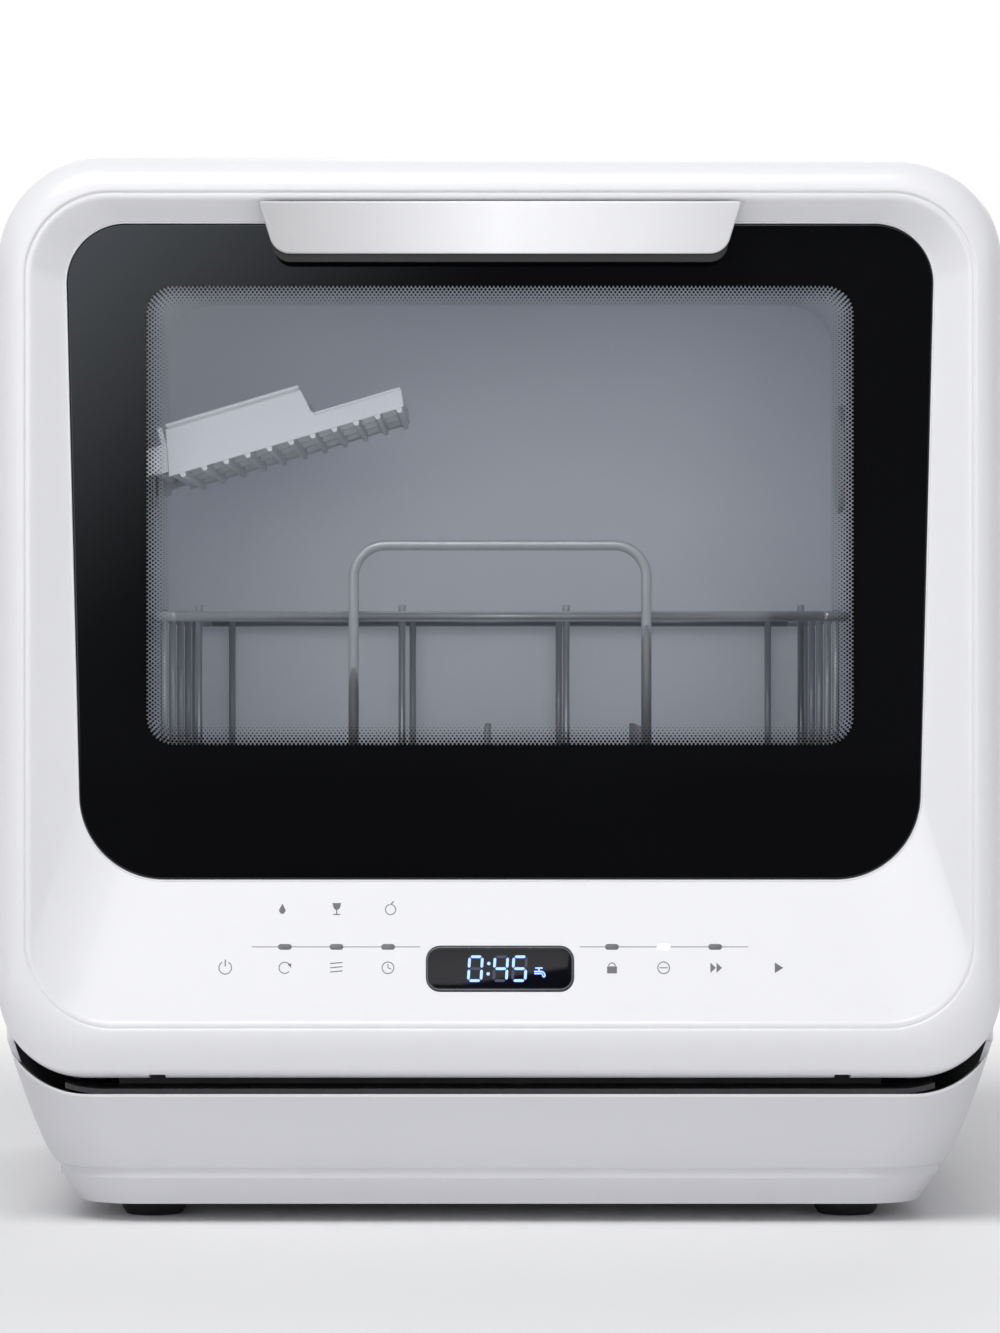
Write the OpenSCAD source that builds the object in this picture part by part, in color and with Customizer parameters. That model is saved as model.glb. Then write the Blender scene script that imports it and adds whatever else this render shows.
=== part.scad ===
// Countertop dishwasher with a drop-down glass door, a wire basket on rails and a built-in water tank.
// Millimetres. X to the right seen from the front, Y towards the back, Z up.
// The origin is on the floor, under the middle of the overall box.

/* [Cabinet] */
// Overall width, at the rim of the door
body_w = 430; // [400:1:460]
// Overall height, feet included
body_h = 458; // [420:1:490]
// Overall depth, from the handle to the end of the water inlet
body_d = 435; // [400:1:470]
// Wall of the outer casing, the skirt and the door rim
casing_wall = 2.5; // [2:0.1:3]
// Radius of the four corners of the door and the casing, seen from the front
corner_r = 45; // [40:1:50]
// How far the casing stands inside the edge of the door
casing_inset = 1.5; // [1:0.1:2.5]
// How far the water inlet stands out behind the back
inlet_proud = 12.5; // [10:0.5:16]

/* [Base] */
// Height of the rubber feet
foot_h = 8; // [6:0.5:12]
// Radius of the rubber feet
foot_r = 14; // [10:1:18]
// Height of the side wall of the base tray
tray_h = 16; // [12:1:18]
// Height at which the skirt meets the casing
skirt_top = 78; // [76:1:82]
// How far the sides of the skirt draw in towards the floor
skirt_taper = 21; // [14:1:26]
// How far the front and back of the skirt draw in towards the floor
skirt_taper_y = 16; // [10:1:20]
// Wall of the base tray
tray_wall = 3; // [2.5:0.1:4]

/* [Door] */
// Height of the lowest point of the door
door_bottom = 63.6; // [62:0.2:66]
// Thickness of the door, from the crown of its rim to its back
door_t = 35.5; // [34:0.5:38]
// Gap between the bottom of the door and the skirt
door_gap = 6.4; // [5:0.2:7]
// Radius of the rolled bottom edge, which is centred on the hinge
roll_r = 20.4; // [19:0.2:21]
// Width of the rounded rim at the sides of the door
rim_side = 11.6; // [11:0.2:13]
// Width of the rounded rim at the top of the door
rim_top = 14.2; // [12:0.2:16]
// Depth of the dished fascia, from the rim to the glass
dish_depth = 12; // [9:0.5:14]
// Wall of the moulded fascia
fascia_wall = 2.5; // [2:0.1:3]
// Distance between the back of the door and the front frame
seal_gap = 6; // [5:0.5:7]
// Thickness of the door liner
liner_t = 3; // [2:0.5:4]

/* [Glass] */
// Distance from the side of the door to the glass, at the top of the glass
glass_side = 30.1; // [29:0.1:40]
// How much farther in each side of the glass stands at its bottom
glass_narrowing = 5.4; // [2:0.1:12]
// Height of the bottom edge of the glass
glass_bottom = 149.2; // [146:0.2:156]
// Distance from the top of the door to the glass
glass_top_gap = 29; // [28:0.5:34]
// Radius of the upper corners of the glass
glass_top_r = 25; // [20:1:30]
// Radius of the lower corners of the glass
glass_bottom_r = 36; // [30:1:40]
// Thickness of the outer glass
glass_t = 4; // [3:0.5:5]
// Distance from the side of the glass to the clear window
window_side = 33.5; // [30:0.1:44]
// Height of the bottom edge of the clear window
window_bottom = 206.4; // [200:0.2:215]
// Distance from the top edge of the glass to the clear window
window_top_gap = 26; // [24:0.5:36]
// Thickness of the inner pane
pane_t = 3.2; // [3:0.2:4]

/* [Controls and handle] */
// Width of the display lens
display_w = 62.8; // [50:0.2:66]
// Height of the display lens
display_h = 20.2; // [16:0.2:24]
// Height of the middle of the display above the floor
display_z = 109.8; // [106:0.2:114]
// Distance between neighbouring indicator lamps
lamp_pitch = 22; // [18:1:24]
// Distance of the innermost lamps from the middle
lamp_inner_x = 47.7; // [44:0.5:50]
// Height of the row of indicator lamps
lamp_z = 119.1; // [117:0.5:121]
// Width of the handle plate at its top
handle_w = 206; // [180:1:220]
// Height of the handle plate
handle_h = 23.7; // [20:0.5:26]
// Thickness of the handle plate
handle_t = 2.4; // [2:0.1:3]
// How far the handle stands out past the rim
handle_proud = 2; // [1:0.5:4]

/* [Tub] */
// Distance from the side of the door to the inside of the tub
side_space = 50; // [48:1:56]
// Distance behind the tub, for the tank, the hoses and the valves
rear_space = 74; // [72:1:80]
// Height of the tub floor
tub_floor = 100; // [100:0.5:102]
// Distance from the top of the door to the ceiling of the tub
top_space = 38; // [36:1:44]
// Wall of the tub
tub_wall = 3; // [2.5:0.1:3.5]
// Radius of the corners of the tub, seen from the front
tub_r = 22; // [16:1:28]
// Height of the sill above the tub floor
sill_h = 10; // [10:0.5:14]

/* [Spray arm and filter] */
// Space between the tip of the spray arm and the nearest wall of the tub
arm_gap = 2.5; // [2:0.5:20]
// Width of the spray arm at its hub
arm_w = 44; // [36:1:50]
// Height of the underside of the arm above the tub floor
arm_lift = 13; // [12:0.5:16]
// Radius of the bearing that the arm turns on
arm_bearing_r = 9; // [8:0.5:11]
// Radius of the filter cup
filter_r = 36; // [32:1:38]
// Sideways place of the filter
filter_x = 74; // [68:1:80]
// Distance of the filter's centre behind the front of the tub
filter_back = 69.5; // [68:0.5:74]

/* [Basket] */
// Diameter of the heavy basket wires
heavy_wire = 4.5; // [4:0.1:5]
// Diameter of the thin basket wires
thin_wire = 3.2; // [2.8:0.1:3.6]
// Space between the side of the basket and the wall of the tub
basket_side_gap = 13; // [12:0.5:20]
// Space between the back of the basket and the back of the tub
basket_back_gap = 18; // [16:0.5:40]
// Height of the basket's floor wires
basket_floor_z = 146; // [144:1:152]
// Height of the basket's top wire
basket_rim_z = 262; // [250:1:280]
// Height of the top of the front handle loop
basket_loop_z = 293; // [284:1:310]
// Width of the front handle loop, wire centre to wire centre
basket_loop_w = 128; // [110:1:140]
// Distance between the door and the front wires of the basket
basket_front_gap = 28; // [24:1:34]
// Height of the plate tines above the floor wires
tine_h = 62; // [40:1:80]

/* [Cutlery rack] */
// Length of the rack, away from the wall
rack_len = 112; // [100:1:124]
// Depth of the rack, front to back
rack_depth = 150; // [120:2:170]
// Angle at which the rack rises from the wall
rack_tilt = 16.5; // [12:0.5:20]
// Distance from the ceiling of the tub to the bar that carries the rack
rack_bar_drop = 90; // [84:1:100]

/* [Fill port] */
// Sideways place of the fill port
fill_x = 110; // [90:1:120]
// Radius of the lid of the fill port
fill_r = 28; // [24:1:30]

/* [Hidden] */
$fn = 48;
eps = 0.05;
fit = 0.2;

// Depth planes, from the front to the back
y_front = -body_d / 2;
y_rim = y_front + handle_proud;
y_axis = y_rim + roll_r + 0.1;
y_door = y_rim + door_t;
y_frame = y_door + seal_gap;
frame_t = 3;
y_tub = y_frame + frame_t;
y_back = body_d / 2 - inlet_proud;
y_tub_back = y_back - rear_space;
tub_d = y_tub_back - tub_wall - y_tub;
casing_gap = 3;
y_casing = y_door + casing_gap;
flange_w = 12;
flange_t = seal_gap - casing_gap;
strip_half = body_w / 2 - 29;
rear_t = 2.5;

// Heights
door_top = body_h;
door_h = door_top - door_bottom;
door_mid = (door_top + door_bottom) / 2;
z_axis = door_bottom + roll_r;
casing_half = body_w / 2 - casing_inset;
casing_top = body_h - casing_inset;
casing_r = corner_r - casing_inset;
tray_top = foot_h + tray_h;
tray_floor = foot_h + tray_wall;
tray_half = casing_half - skirt_taper - 0.5;
y_skirt = y_casing - 30;
skirt_front_r = 36;
skirt_back_r = 24;
tray_front = y_skirt + skirt_taper_y + 0.5;
tray_back = y_back - skirt_taper_y - 0.5;
tray_mid = (tray_front + tray_back) / 2;
tray_len = tray_back - tray_front;
tray_r = 36;
tray_lean = 9;
tub_w = body_w - 2 * side_space;
tub_ceiling = body_h - top_space;
tub_mid = (tub_floor + tub_ceiling) / 2;
tub_in_h = tub_ceiling - tub_floor;
opening_bottom = tub_floor + sill_h;

// The glass and the fascia
glass_top = door_top - glass_top_gap;
glass_top_w = body_w - 2 * glass_side;
glass_bottom_w = glass_top_w - 2 * glass_narrowing;
glass_fit = 0.4;
fascia_top = door_top - rim_top;
fascia_bottom = door_bottom + roll_r + 0.3;
fascia_half = body_w / 2 - rim_side;
fascia_r = corner_r - 12;
y_fascia = y_rim + 0.8;
y_glass = y_fascia + dish_depth;
y_glass_back = y_glass + glass_t;
console_bottom = fascia_bottom + 1.2;
console_rise = glass_bottom - console_bottom;
console_tilt = atan(dish_depth / console_rise);
window_w = glass_top_w - 2 * window_side;
window_top = glass_top - window_top_gap;
window_mid = (window_bottom + window_top) / 2;
window_h = window_top - window_bottom;
window_r = 12;
liner_front = y_door - liner_t;

// The spray arm and the basket
arm_y = y_tub + tub_d / 2 - 6;
arm_z = tub_floor + arm_lift;
arm_len = 2 * (min(tub_w / 2, tub_d / 2 - 6) - arm_gap);
filter_y = y_tub + filter_back;
filter_ahead = arm_y - filter_y;
basket_front = y_door + basket_front_gap;
basket_back = y_tub + tub_d - basket_back_gap;
basket_len = basket_back - basket_front;
basket_w = tub_w - 2 * basket_side_gap;
basket_mid_y = (basket_front + basket_back) / 2;
basket_half = basket_w / 2;
glide_t = 6;
glide_h = 8;
rail_top = basket_floor_z - thin_wire / 2 - glide_h - 0.3;
rail_reach = tub_w / 2 - basket_half + glide_t + 1;

// The machinery in the base
pump_r = 27;
pump_x = -69;
pump_z = tray_floor + 9 + pump_r;
sump_bottom = 30;
sump_top = tub_floor - tub_wall;
sump_mid = (arm_y + filter_y) / 2;
sump_w = filter_x + 2 * filter_r + 22;
sump_len = filter_ahead + 2 * filter_r + 22;
sump_back = sump_mid + sump_len / 2;
pump_y = sump_back + 55.5;
drain_pump_z = sump_bottom + 17;
riser_r = 14;
hose_r = 9.5;
valve_inset = 63.5;
drain_x = -casing_half + valve_inset;
drain_z = 112;
inlet_x = -casing_half + valve_inset;
inlet_z = 150;
gland_x = casing_half - valve_inset;
gland_z = 110;
cord_r = 4;
thread_r = 13.2;
tank_w = tub_w - 86;
tank_front = y_tub_back + 6;
tank_bottom = 190;
tank_top = tub_ceiling - 20;
fill_y = y_back - 44;
fan_y = y_tub_back - 71;
fan_z = tub_ceiling - 80;
fan_r = 27;
latch_z = tub_ceiling + 18;
hinge_x = body_w / 2 - 68.5;
ear_t = 5;
ear_r = 7;
pin_r = 4;

white = [0.93, 0.93, 0.95];
shade_white = [0.82, 0.83, 0.86];
charcoal = [0.07, 0.07, 0.08];
steel = [0.72, 0.73, 0.75];
tub_grey = [0.45, 0.46, 0.49];
soft_grey = [0.62, 0.62, 0.65];
rubber = [0.13, 0.13, 0.14];

// ---- Shapes that repeat ----

// A rounded rectangle about the origin, with true arcs
module rounded(w, h, r) {
    square([w - 2 * r, h], center = true);
    square([w, h - 2 * r], center = true);
    for (x = [-1, 1], y = [-1, 1]) translate([x * (w / 2 - r), y * (h / 2 - r)]) circle(r);
}

// An upright slab that fills y0 to y1, with its outline seen from the front
module upright(y0, y1, z = 0) {
    translate([0, y1, z]) rotate([90, 0, 0]) linear_extrude(y1 - y0) children();
}

// A flat slab that fills z0 to z1, with its outline seen from above
module flat(z0, z1, x = 0, y = 0) {
    translate([x, y, z0]) linear_extrude(z1 - z0) children();
}

// A round bar between two depths
module bar_y(x, z, r, y0, y1) {
    translate([x, y1, z]) rotate([90, 0, 0]) cylinder(r = r, h = y1 - y0);
}

// A round bar between two sideways places
module bar_x(y, z, r, x0, x1) {
    translate([x0, y, z]) rotate([0, 90, 0]) cylinder(r = r, h = x1 - x0);
}

// A box from its lowest to its highest corner
module block(a, b) {
    translate(a) cube(b - a);
}

// The outline of the door and the casing, seen from the front, drawn in by a margin
module door_outline(margin, r = corner_r) {
    rounded(body_w - 2 * margin, door_h - 2 * margin, r - margin);
}

// The glass, seen from the front, about x = 0 and at its real height
module glass_outline(grow = 0) {
    hull() {
        for (s = [-1, 1]) {
            translate([s * (glass_top_w / 2 - glass_top_r), glass_top - glass_top_r])
                circle(glass_top_r + grow, $fn = 40);
            translate([s * (glass_bottom_w / 2 - glass_bottom_r), glass_bottom + glass_bottom_r])
                circle(glass_bottom_r + grow, $fn = 40);
        }
    }
}

// The fascia, seen from the front, at its real height
module fascia_outline(margin = 0) {
    translate([0, (fascia_top + fascia_bottom) / 2])
        rounded(2 * (fascia_half - margin), fascia_top - fascia_bottom - 2 * margin, fascia_r - margin);
}

// Four short pegs at the rounded corners of an upright outline, for hulls
module corner_pegs(y, half_top, half_bottom, top, bottom, r_top, r_bottom, t = eps) {
    for (s = [-1, 1]) {
        bar_y(s * (half_top - r_top), top - r_top, r_top, y, y + t);
        bar_y(s * (half_bottom - r_bottom), bottom + r_bottom, r_bottom, y, y + t);
    }
}

// The hollow of the dished fascia: from the rim's plane to the plane of the glass
module dish(grow = 0, deeper = 0) {
    m = 1.2 - grow;
    hull($fn = 40) {
        corner_pegs(y_fascia - 3, fascia_half - m, fascia_half - m, fascia_top - m, fascia_bottom + m,
            fascia_r - m, fascia_r - m, 3);
        corner_pegs(y_glass + deeper, glass_top_w / 2 + grow, glass_bottom_w / 2 + grow, glass_top + grow,
            glass_bottom - grow, glass_top_r + grow, glass_bottom_r + grow);
    }
}

// Places its children on the sloping control console, at a height above the floor
module on_console(x, z) {
    translate([x, y_fascia + (z - console_bottom) / console_rise * dish_depth, z])
        rotate([90 - console_tilt, 0, 0]) children();
}

// A slice of the pillow shape of the door: an outline drawn in by its own margin on each side
module door_slice(y, side, top, bottom, r) {
    corner_pegs(y, body_w / 2 - side, body_w / 2 - side, door_top - top, door_bottom + bottom, r, r);
}

// The outside of the door, drawn in by a wall: its rim is rounded forwards, and its bottom is rolled round
// the hinge
module door_form(wall = 0, lip = 0) {
    roll = roll_r - wall;
    hull($fn = 40) {
        for (a = [0, 24, 45, 64, 80, 90]) {
            turn = 1 - cos(a);
            door_slice(y_axis - roll * sin(a), wall + (rim_side - wall - lip) * turn,
                wall + (rim_top - wall - lip) * turn,
                wall + (roll - lip) * turn, corner_r - wall - (rim_side - lip) * turn);
        }
        for (a = [0, 24, asin((y_door - y_axis) / roll_r)])
            door_slice(y_axis + roll_r * sin(a) - (a > 24 ? eps : 0), wall, wall,
                wall + roll_r * (1 - cos(a)), corner_r - wall);
    }
}

// The room that the hinge ears need in the bottom of the door
module hinge_notches() {
    for (s = [-1, 1])
        block([s * hinge_x - ear_t / 2 - 1, y_axis - ear_r - 1.5, door_bottom - 5],
            [s * hinge_x + ear_t / 2 + 1, y_door + 5, z_axis + ear_r + 1.5]);
}

// ---- The cabinet ----

// Outline of the casing and what lies inside it, drawn in by a margin, and longer below for a cut
module casing_outline(margin = 0, below = 0) {
    half = casing_half - margin;
    top = casing_top - margin;
    r = casing_r - margin;
    z0 = skirt_top - below;
    translate([-half, z0]) square([2 * half, top - r - z0]);
    translate([-half + r, z0]) square([2 * (half - r), top - z0]);
    for (s = [-1, 1]) translate([s * (half - r), top - r]) circle(r);
}

module outer_casing() {
    color(white) difference() {
        union() {
            difference() {
                upright(y_casing, y_back) casing_outline();
                upright(y_casing - 1, y_back + 1) casing_outline(casing_wall, 1);
            }
            // Flanges that stiffen the front edge and carry the rear panel
            for (y = [y_casing, y_back - rear_t - flange_t]) difference() {
                upright(y, y + flange_t) casing_outline(casing_wall / 2);
                upright(y - 1, y + flange_t + 1) casing_outline(flange_w, 1);
            }
        }
        // The hole for the fill port
        translate([fill_x, fill_y, casing_top - 10]) cylinder(r = fill_r + 4, h = 20);
        for (p = rear_screw_places()) bar_y(p[0], p[1], 1.6, y_back - 6, y_back);
    }
}

function rear_screw_places() = concat(
    [for (s = [-1, 1], i = [0:2]) [s * (casing_half - 8),
        skirt_top + 22 + i * (casing_top - skirt_top - 78) / 2]],
    [for (x = [-casing_half + 93, 0]) [x, casing_top - 8]]);

module rear_panel() {
    color(shade_white) difference() {
        upright(y_back - rear_t, y_back) casing_outline(casing_wall + fit);
        bar_y(inlet_x, inlet_z, thread_r + 1, y_back - 5, y_back + 5);
        bar_y(drain_x, drain_z, hose_r + 2.5, y_back - 5, y_back + 5);
        bar_y(gland_x, gland_z, cord_r + 5, y_back - 5, y_back + 5);
        for (p = rear_screw_places()) bar_y(p[0], p[1], 1.9, y_back - 5, y_back + 5);
        // Louvres
        for (i = [0:8]) upright(y_back - 5, y_back + 5)
            translate([0, 180 + i * 12]) rounded(140, 4, 1.9);
    }
}

module rear_screws() {
    color(steel) for (p = rear_screw_places()) {
        bar_y(p[0], p[1], 1.5, y_back - 6, y_back + 0.1);
        bar_y(p[0], p[1], 3.4, y_back, y_back + 1.8);
    }
}

// One level of the tapering skirt: four pegs at its corners, for a hull
module skirt_level(z, inset_x, inset_y, wall) {
    half = casing_half - inset_x - wall;
    front = y_skirt + inset_y + wall;
    back = y_back - inset_y - wall;
    front_r = skirt_front_r - wall;
    back_r = skirt_back_r - wall;
    for (s = [-1, 1]) {
        translate([s * (half - front_r), front + front_r, z]) cylinder(r = front_r, h = eps);
        translate([s * (half - back_r), back - back_r, z]) cylinder(r = back_r, h = eps);
    }
}

// The skirt's boat shape between two heights, drawn in by a wall: it draws in faster towards the floor
module skirt_form(wall, z0, z1) {
    hull($fn = 40) for (a = [0, 18, 36, 54, 72, 90]) {
        drawn = 0.7 * sin(a) + 0.3 * (1 - cos(a));
        skirt_level(z1 - eps - (z1 - z0 - eps) * sin(a), skirt_taper * drawn, skirt_taper_y * drawn, wall);
    }
}

module base_skirt() {
    color(shade_white) difference() {
        skirt_form(0, tray_top, skirt_top);
        difference() {
            skirt_form(casing_wall, tray_top, skirt_top + 1);
            block([-300, -300, 0], [300, 300, tray_top + 2.5]);
        }
        // The opening over the base tray
        flat(tray_top - 1, tray_top + 4, 0, tray_mid)
            rounded(2 * tray_half - 12, tray_len - 12, tray_r - 6);
        // The sweep of the door's lower edge
        upright(-300, y_casing - 1) translate([0, door_mid]) door_outline(-door_gap);
    }
}

// The black strip in the gap under the door
module gap_strip() {
    color(charcoal) difference() {
        upright(y_skirt + 6, y_frame) intersection() {
            translate([0, door_mid]) door_outline(-door_gap);
            translate([-strip_half, 0]) square([2 * strip_half, skirt_top - 3]);
        }
        upright(-300, y_casing + 20) translate([0, door_mid]) door_outline(2.2 - door_gap);
    }
}

// The tray's shape between its floor and its rim, drawn in by a wall: its sides lean in towards the floor
module tray_form(wall, z0, z1) {
    hull($fn = 40) {
        for (sx = [-1, 1], sy = [-1, 1]) {
            translate([sx * (tray_half - tray_r), tray_mid + sy * (tray_len / 2 - tray_r), z1 - 4])
                cylinder(r = tray_r - wall, h = 4);
            translate([sx * (tray_half - tray_r), tray_mid + sy * (tray_len / 2 - tray_r), z0])
                cylinder(r = tray_r - tray_lean - wall, h = eps);
        }
    }
}

module base_tray() {
    color(shade_white) difference() {
        union() {
            difference() {
                tray_form(0, foot_h, tray_top);
                tray_form(tray_wall, tray_floor, tray_top + 1);
            }
            // Stiffening ribs
            for (x = [-110, 110]) block([x - 1.5, y_tub + 1, foot_h + 1],
                [x + 1.5, y_tub + 44, tray_floor + 6]);
        }
        // Air slots under the pump
        for (i = [0:5]) flat(0, tray_top, pump_x, pump_y - 40 + i * 16) rounded(60, 5, 2.4);
    }
}

module feet() {
    color(rubber) for (x = [-1, 1], y = [tray_front + 46, tray_back - 46])
        translate([x * (tray_half - 40), y, 0]) {
        cylinder(r1 = foot_r - 2, r2 = foot_r, h = 3);
        translate([0, 0, 3]) cylinder(r = foot_r, h = foot_h - 3);
    }
}

module frame_opening(grow = 0) {
    translate([0, (opening_bottom + tub_ceiling) / 2])
        rounded(tub_w + 2 * grow, tub_ceiling - opening_bottom + 2 * grow, tub_r + grow);
}

module front_frame() {
    color(charcoal) difference() {
        union() {
            upright(y_frame, y_tub) difference() {
                casing_outline(casing_wall + fit);
                translate([-300, 0]) square([600, skirt_top + 12]);
            }
            upright(y_frame, y_tub) translate([-tub_w / 2, tray_floor])
                square([tub_w, skirt_top + 22 - tray_floor]);
        }
        upright(y_frame - 5, y_tub + 5) frame_opening();
        // Slot for the strike
        block([-16, y_frame - 5, latch_z - 6], [16, y_tub + 5, latch_z + 6]);
        // Slots for the hinge ears
        for (s = [-1, 1]) block([s * hinge_x - ear_t / 2 - fit, y_frame - 5, z_axis - ear_r - fit],
            [s * hinge_x + ear_t / 2 + fit, y_tub + 5, z_axis + ear_r + fit]);
    }
}

module door_gasket() {
    color(rubber) difference() {
        upright(y_door + 0.3, y_frame) frame_opening(11);
        upright(y_door - 1, y_frame + 1) frame_opening(4.5);
        // The hollow bulb, which folds when the door shuts
        upright(y_door + 1.9, y_frame - 1.5) difference() {
            frame_opening(9.5);
            frame_opening(6);
        }
    }
}

module tub_section(grow = 0) {
    translate([0, tub_mid]) rounded(tub_w + 2 * grow, tub_in_h + 2 * grow, tub_r + grow);
}

module tub() {
    color(tub_grey) difference() {
        union() {
            upright(y_tub, y_tub_back) tub_section(tub_wall);
            upright(y_tub, y_tub + 3) tub_section(12);
        }
        upright(y_tub - 1, y_tub_back - tub_wall) tub_section();
        // Wells for the spray riser and the filter, and the drying vent
        translate([0, arm_y, tub_floor - 10]) cylinder(r = riser_r + fit, h = 20);
        translate([filter_x, filter_y, tub_floor - 10]) cylinder(r = filter_r + 2, h = 20);
        bar_x(fan_y, fan_z, fan_r - 5, tub_w / 2 - 5, tub_w / 2 + 10);
    }
}

module tub_rails() {
    color(soft_grey) for (s = [-1, 1]) difference() {
        union() {
            // The runner and its web against the wall
            block([s > 0 ? tub_w / 2 - rail_reach : -tub_w / 2, y_tub + 12, rail_top - 4],
                [s > 0 ? tub_w / 2 : -tub_w / 2 + rail_reach, y_tub + tub_d - 30, rail_top]);
            block([s > 0 ? tub_w / 2 - 2.5 : -tub_w / 2, y_tub + 12, rail_top - 12],
                [s > 0 ? tub_w / 2 : -tub_w / 2 + 2.5, y_tub + tub_d - 30, rail_top + 10]);
            // The stop at the back
            block([s > 0 ? tub_w / 2 - rail_reach : -tub_w / 2, y_tub + tub_d - 34, rail_top - 4],
                [s > 0 ? tub_w / 2 : -tub_w / 2 + rail_reach, y_tub + tub_d - 30, rail_top + 10]);
        }
        for (i = [0:3]) bar_x(y_tub + 40 + i * (tub_d - 113) / 3, rail_top + 5, 2, -tub_w, tub_w);
    }
}

// ---- Water path ----

rack_bar_x = -tub_w / 2 + 9;
rack_bar_z = tub_ceiling - rack_bar_drop;
rack_bar_r = 3;
rack_y0 = y_tub + 42;

module rack_holder() {
    color(soft_grey) {
        bar_y(rack_bar_x, rack_bar_z, rack_bar_r, rack_y0 - 6, rack_y0 + rack_depth + 6);
        for (y = [rack_y0 - 4, rack_y0 + rack_depth + 1]) difference() {
            union() {
                block([-tub_w / 2, y, rack_bar_z - 9], [rack_bar_x, y + 3, rack_bar_z + 6]);
                bar_y(rack_bar_x, rack_bar_z, 6, y, y + 3);
                block([-tub_w / 2, y - 5, rack_bar_z - 14], [-tub_w / 2 + 2, y + 8, rack_bar_z + 11]);
            }
        }
    }
}

module sump_outline(grow = 0) {
    translate([filter_x / 2, sump_mid]) rounded(sump_w + 2 * grow, sump_len + 2 * grow, 26 + grow);
}

// A pan under both wells, hung from the tub by its flange
module sump() {
    color(charcoal) difference() {
        union() {
            difference() {
                union() {
                    flat(sump_bottom, sump_top) sump_outline();
                    flat(sump_top - 3, sump_top) sump_outline(6);
                }
                flat(sump_bottom + 4, sump_top + 1) sump_outline(-3);
            }
            // The socket of the riser
            translate([0, arm_y, sump_bottom + 2]) cylinder(r = riser_r + 3, h = 12);
        }
        translate([0, arm_y, sump_bottom + 4]) cylinder(r = riser_r, h = 60);
        // Where the two pumps plug in
        bar_y(filter_x, drain_pump_z, 11.8, sump_back - 10, sump_back + 5);
        bar_y(suction_x, pump_z, 11, sump_back - 10, sump_back + 5);
        bar_y(pump_out_x, pump_z + 10, 9, sump_back - 10, sump_back + 5);
    }
}

// The nut that keeps the arm on its bearing
module arm_nut() {
    color(soft_grey) translate([0, arm_y, arm_z + 11.4]) difference() {
        union() {
            cylinder(r = arm_bearing_r + 4, h = 4);
            translate([0, 0, 4]) cylinder(r1 = arm_bearing_r + 2, r2 = arm_bearing_r - 1, h = 5);
        }
        translate([0, 0, -1]) cylinder(r = arm_bearing_r, h = 14 - 11.4 + 1);
        for (a = [0:60:300]) rotate([0, 0, a]) translate([arm_bearing_r + 4.4, 0, -1])
            cylinder(r = 1.6, h = 8);
    }
}

// The riser that the arm turns on, with the nut that keeps the arm down
module spray_riser() {
    arm_nut();
    color(soft_grey) translate([0, arm_y, 0]) difference() {
        union() {
            translate([0, 0, sump_bottom + 4]) cylinder(r = riser_r, h = arm_z - sump_bottom - 4 - 0.3);
            translate([0, 0, sump_bottom + 4]) cylinder(r = arm_bearing_r,
                h = arm_z + 14 - sump_bottom - 4);
        }
        translate([0, 0, sump_bottom + 8]) cylinder(r = arm_bearing_r - 2.5, h = arm_z - sump_bottom - 2);
        for (a = [0:90:270]) rotate([0, 0, a]) translate([arm_bearing_r - 4, -3, arm_z + 3])
            cube([8, 6, 5]);
        // The intake, low in the sump
        for (a = [0:60:300]) rotate([0, 0, a]) translate([arm_bearing_r - 4, -2.5, sump_bottom + 20])
            cube([12, 5, 14]);
    }
}

// A slotted disc over the drying vent in the right wall of the tub
module vent_grille() {
    color(soft_grey) difference() {
        bar_x(fan_y, fan_z, fan_r - 1, tub_w / 2 - 2.4, tub_w / 2);
        for (i = [-3:3]) block([tub_w / 2 - 5, fan_y + i * 6 - 1.6, fan_z - sqrt(380 - 36 * i * i)],
            [tub_w / 2 + 1, fan_y + i * 6 + 1.6, fan_z + sqrt(380 - 36 * i * i)]);
    }
}

// One blade of the spray arm: a flat tapering wing with a rounded tip
module arm_blade() {
    tip_r = 11;
    hull() {
        circle(arm_w / 2, $fn = 32);
        translate([arm_len / 2 - tip_r, 0]) circle(tip_r, $fn = 32);
    }
}

module spray_arm() {
    color(soft_grey) translate([0, arm_y, arm_z]) difference() {
        union() {
            for (a = [28, 208]) rotate([0, 0, a]) linear_extrude(6) arm_blade();
            for (a = [28, 208]) rotate([0, 0, a]) translate([0, 0, 6 - eps]) linear_extrude(2 + eps)
                offset(-5) arm_blade();
            cylinder(r = arm_bearing_r + 6, h = 11);
        }
        translate([0, 0, -1]) cylinder(r = arm_bearing_r + 0.06, h = 20);
        // Jets, each in a shallow dimple
        for (a = [28, 208], i = [0:3]) rotate([0, 0, a]) translate([34 + i * 29, i % 2 == 0 ? 3 : -3, 0]) {
            translate([0, 0, 2]) cylinder(r = 1.6, h = 10);
            translate([0, 0, 7]) cylinder(r = 4, h = 4);
        }
    }
}

module filter_plate() {
    color(steel) translate([filter_x, filter_y, tub_floor]) difference() {
        cylinder(r = filter_r + 16, h = 1);
        translate([0, 0, -1]) cylinder(r = filter_r + 2, h = 4);
        for (a = [0:12:348], k = [0:1]) rotate([0, 0, a + 6 * k]) translate([filter_r + 6 + 5.5 * k, 0, -1])
            cylinder(r = 1.5, h = 4);
    }
}

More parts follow.
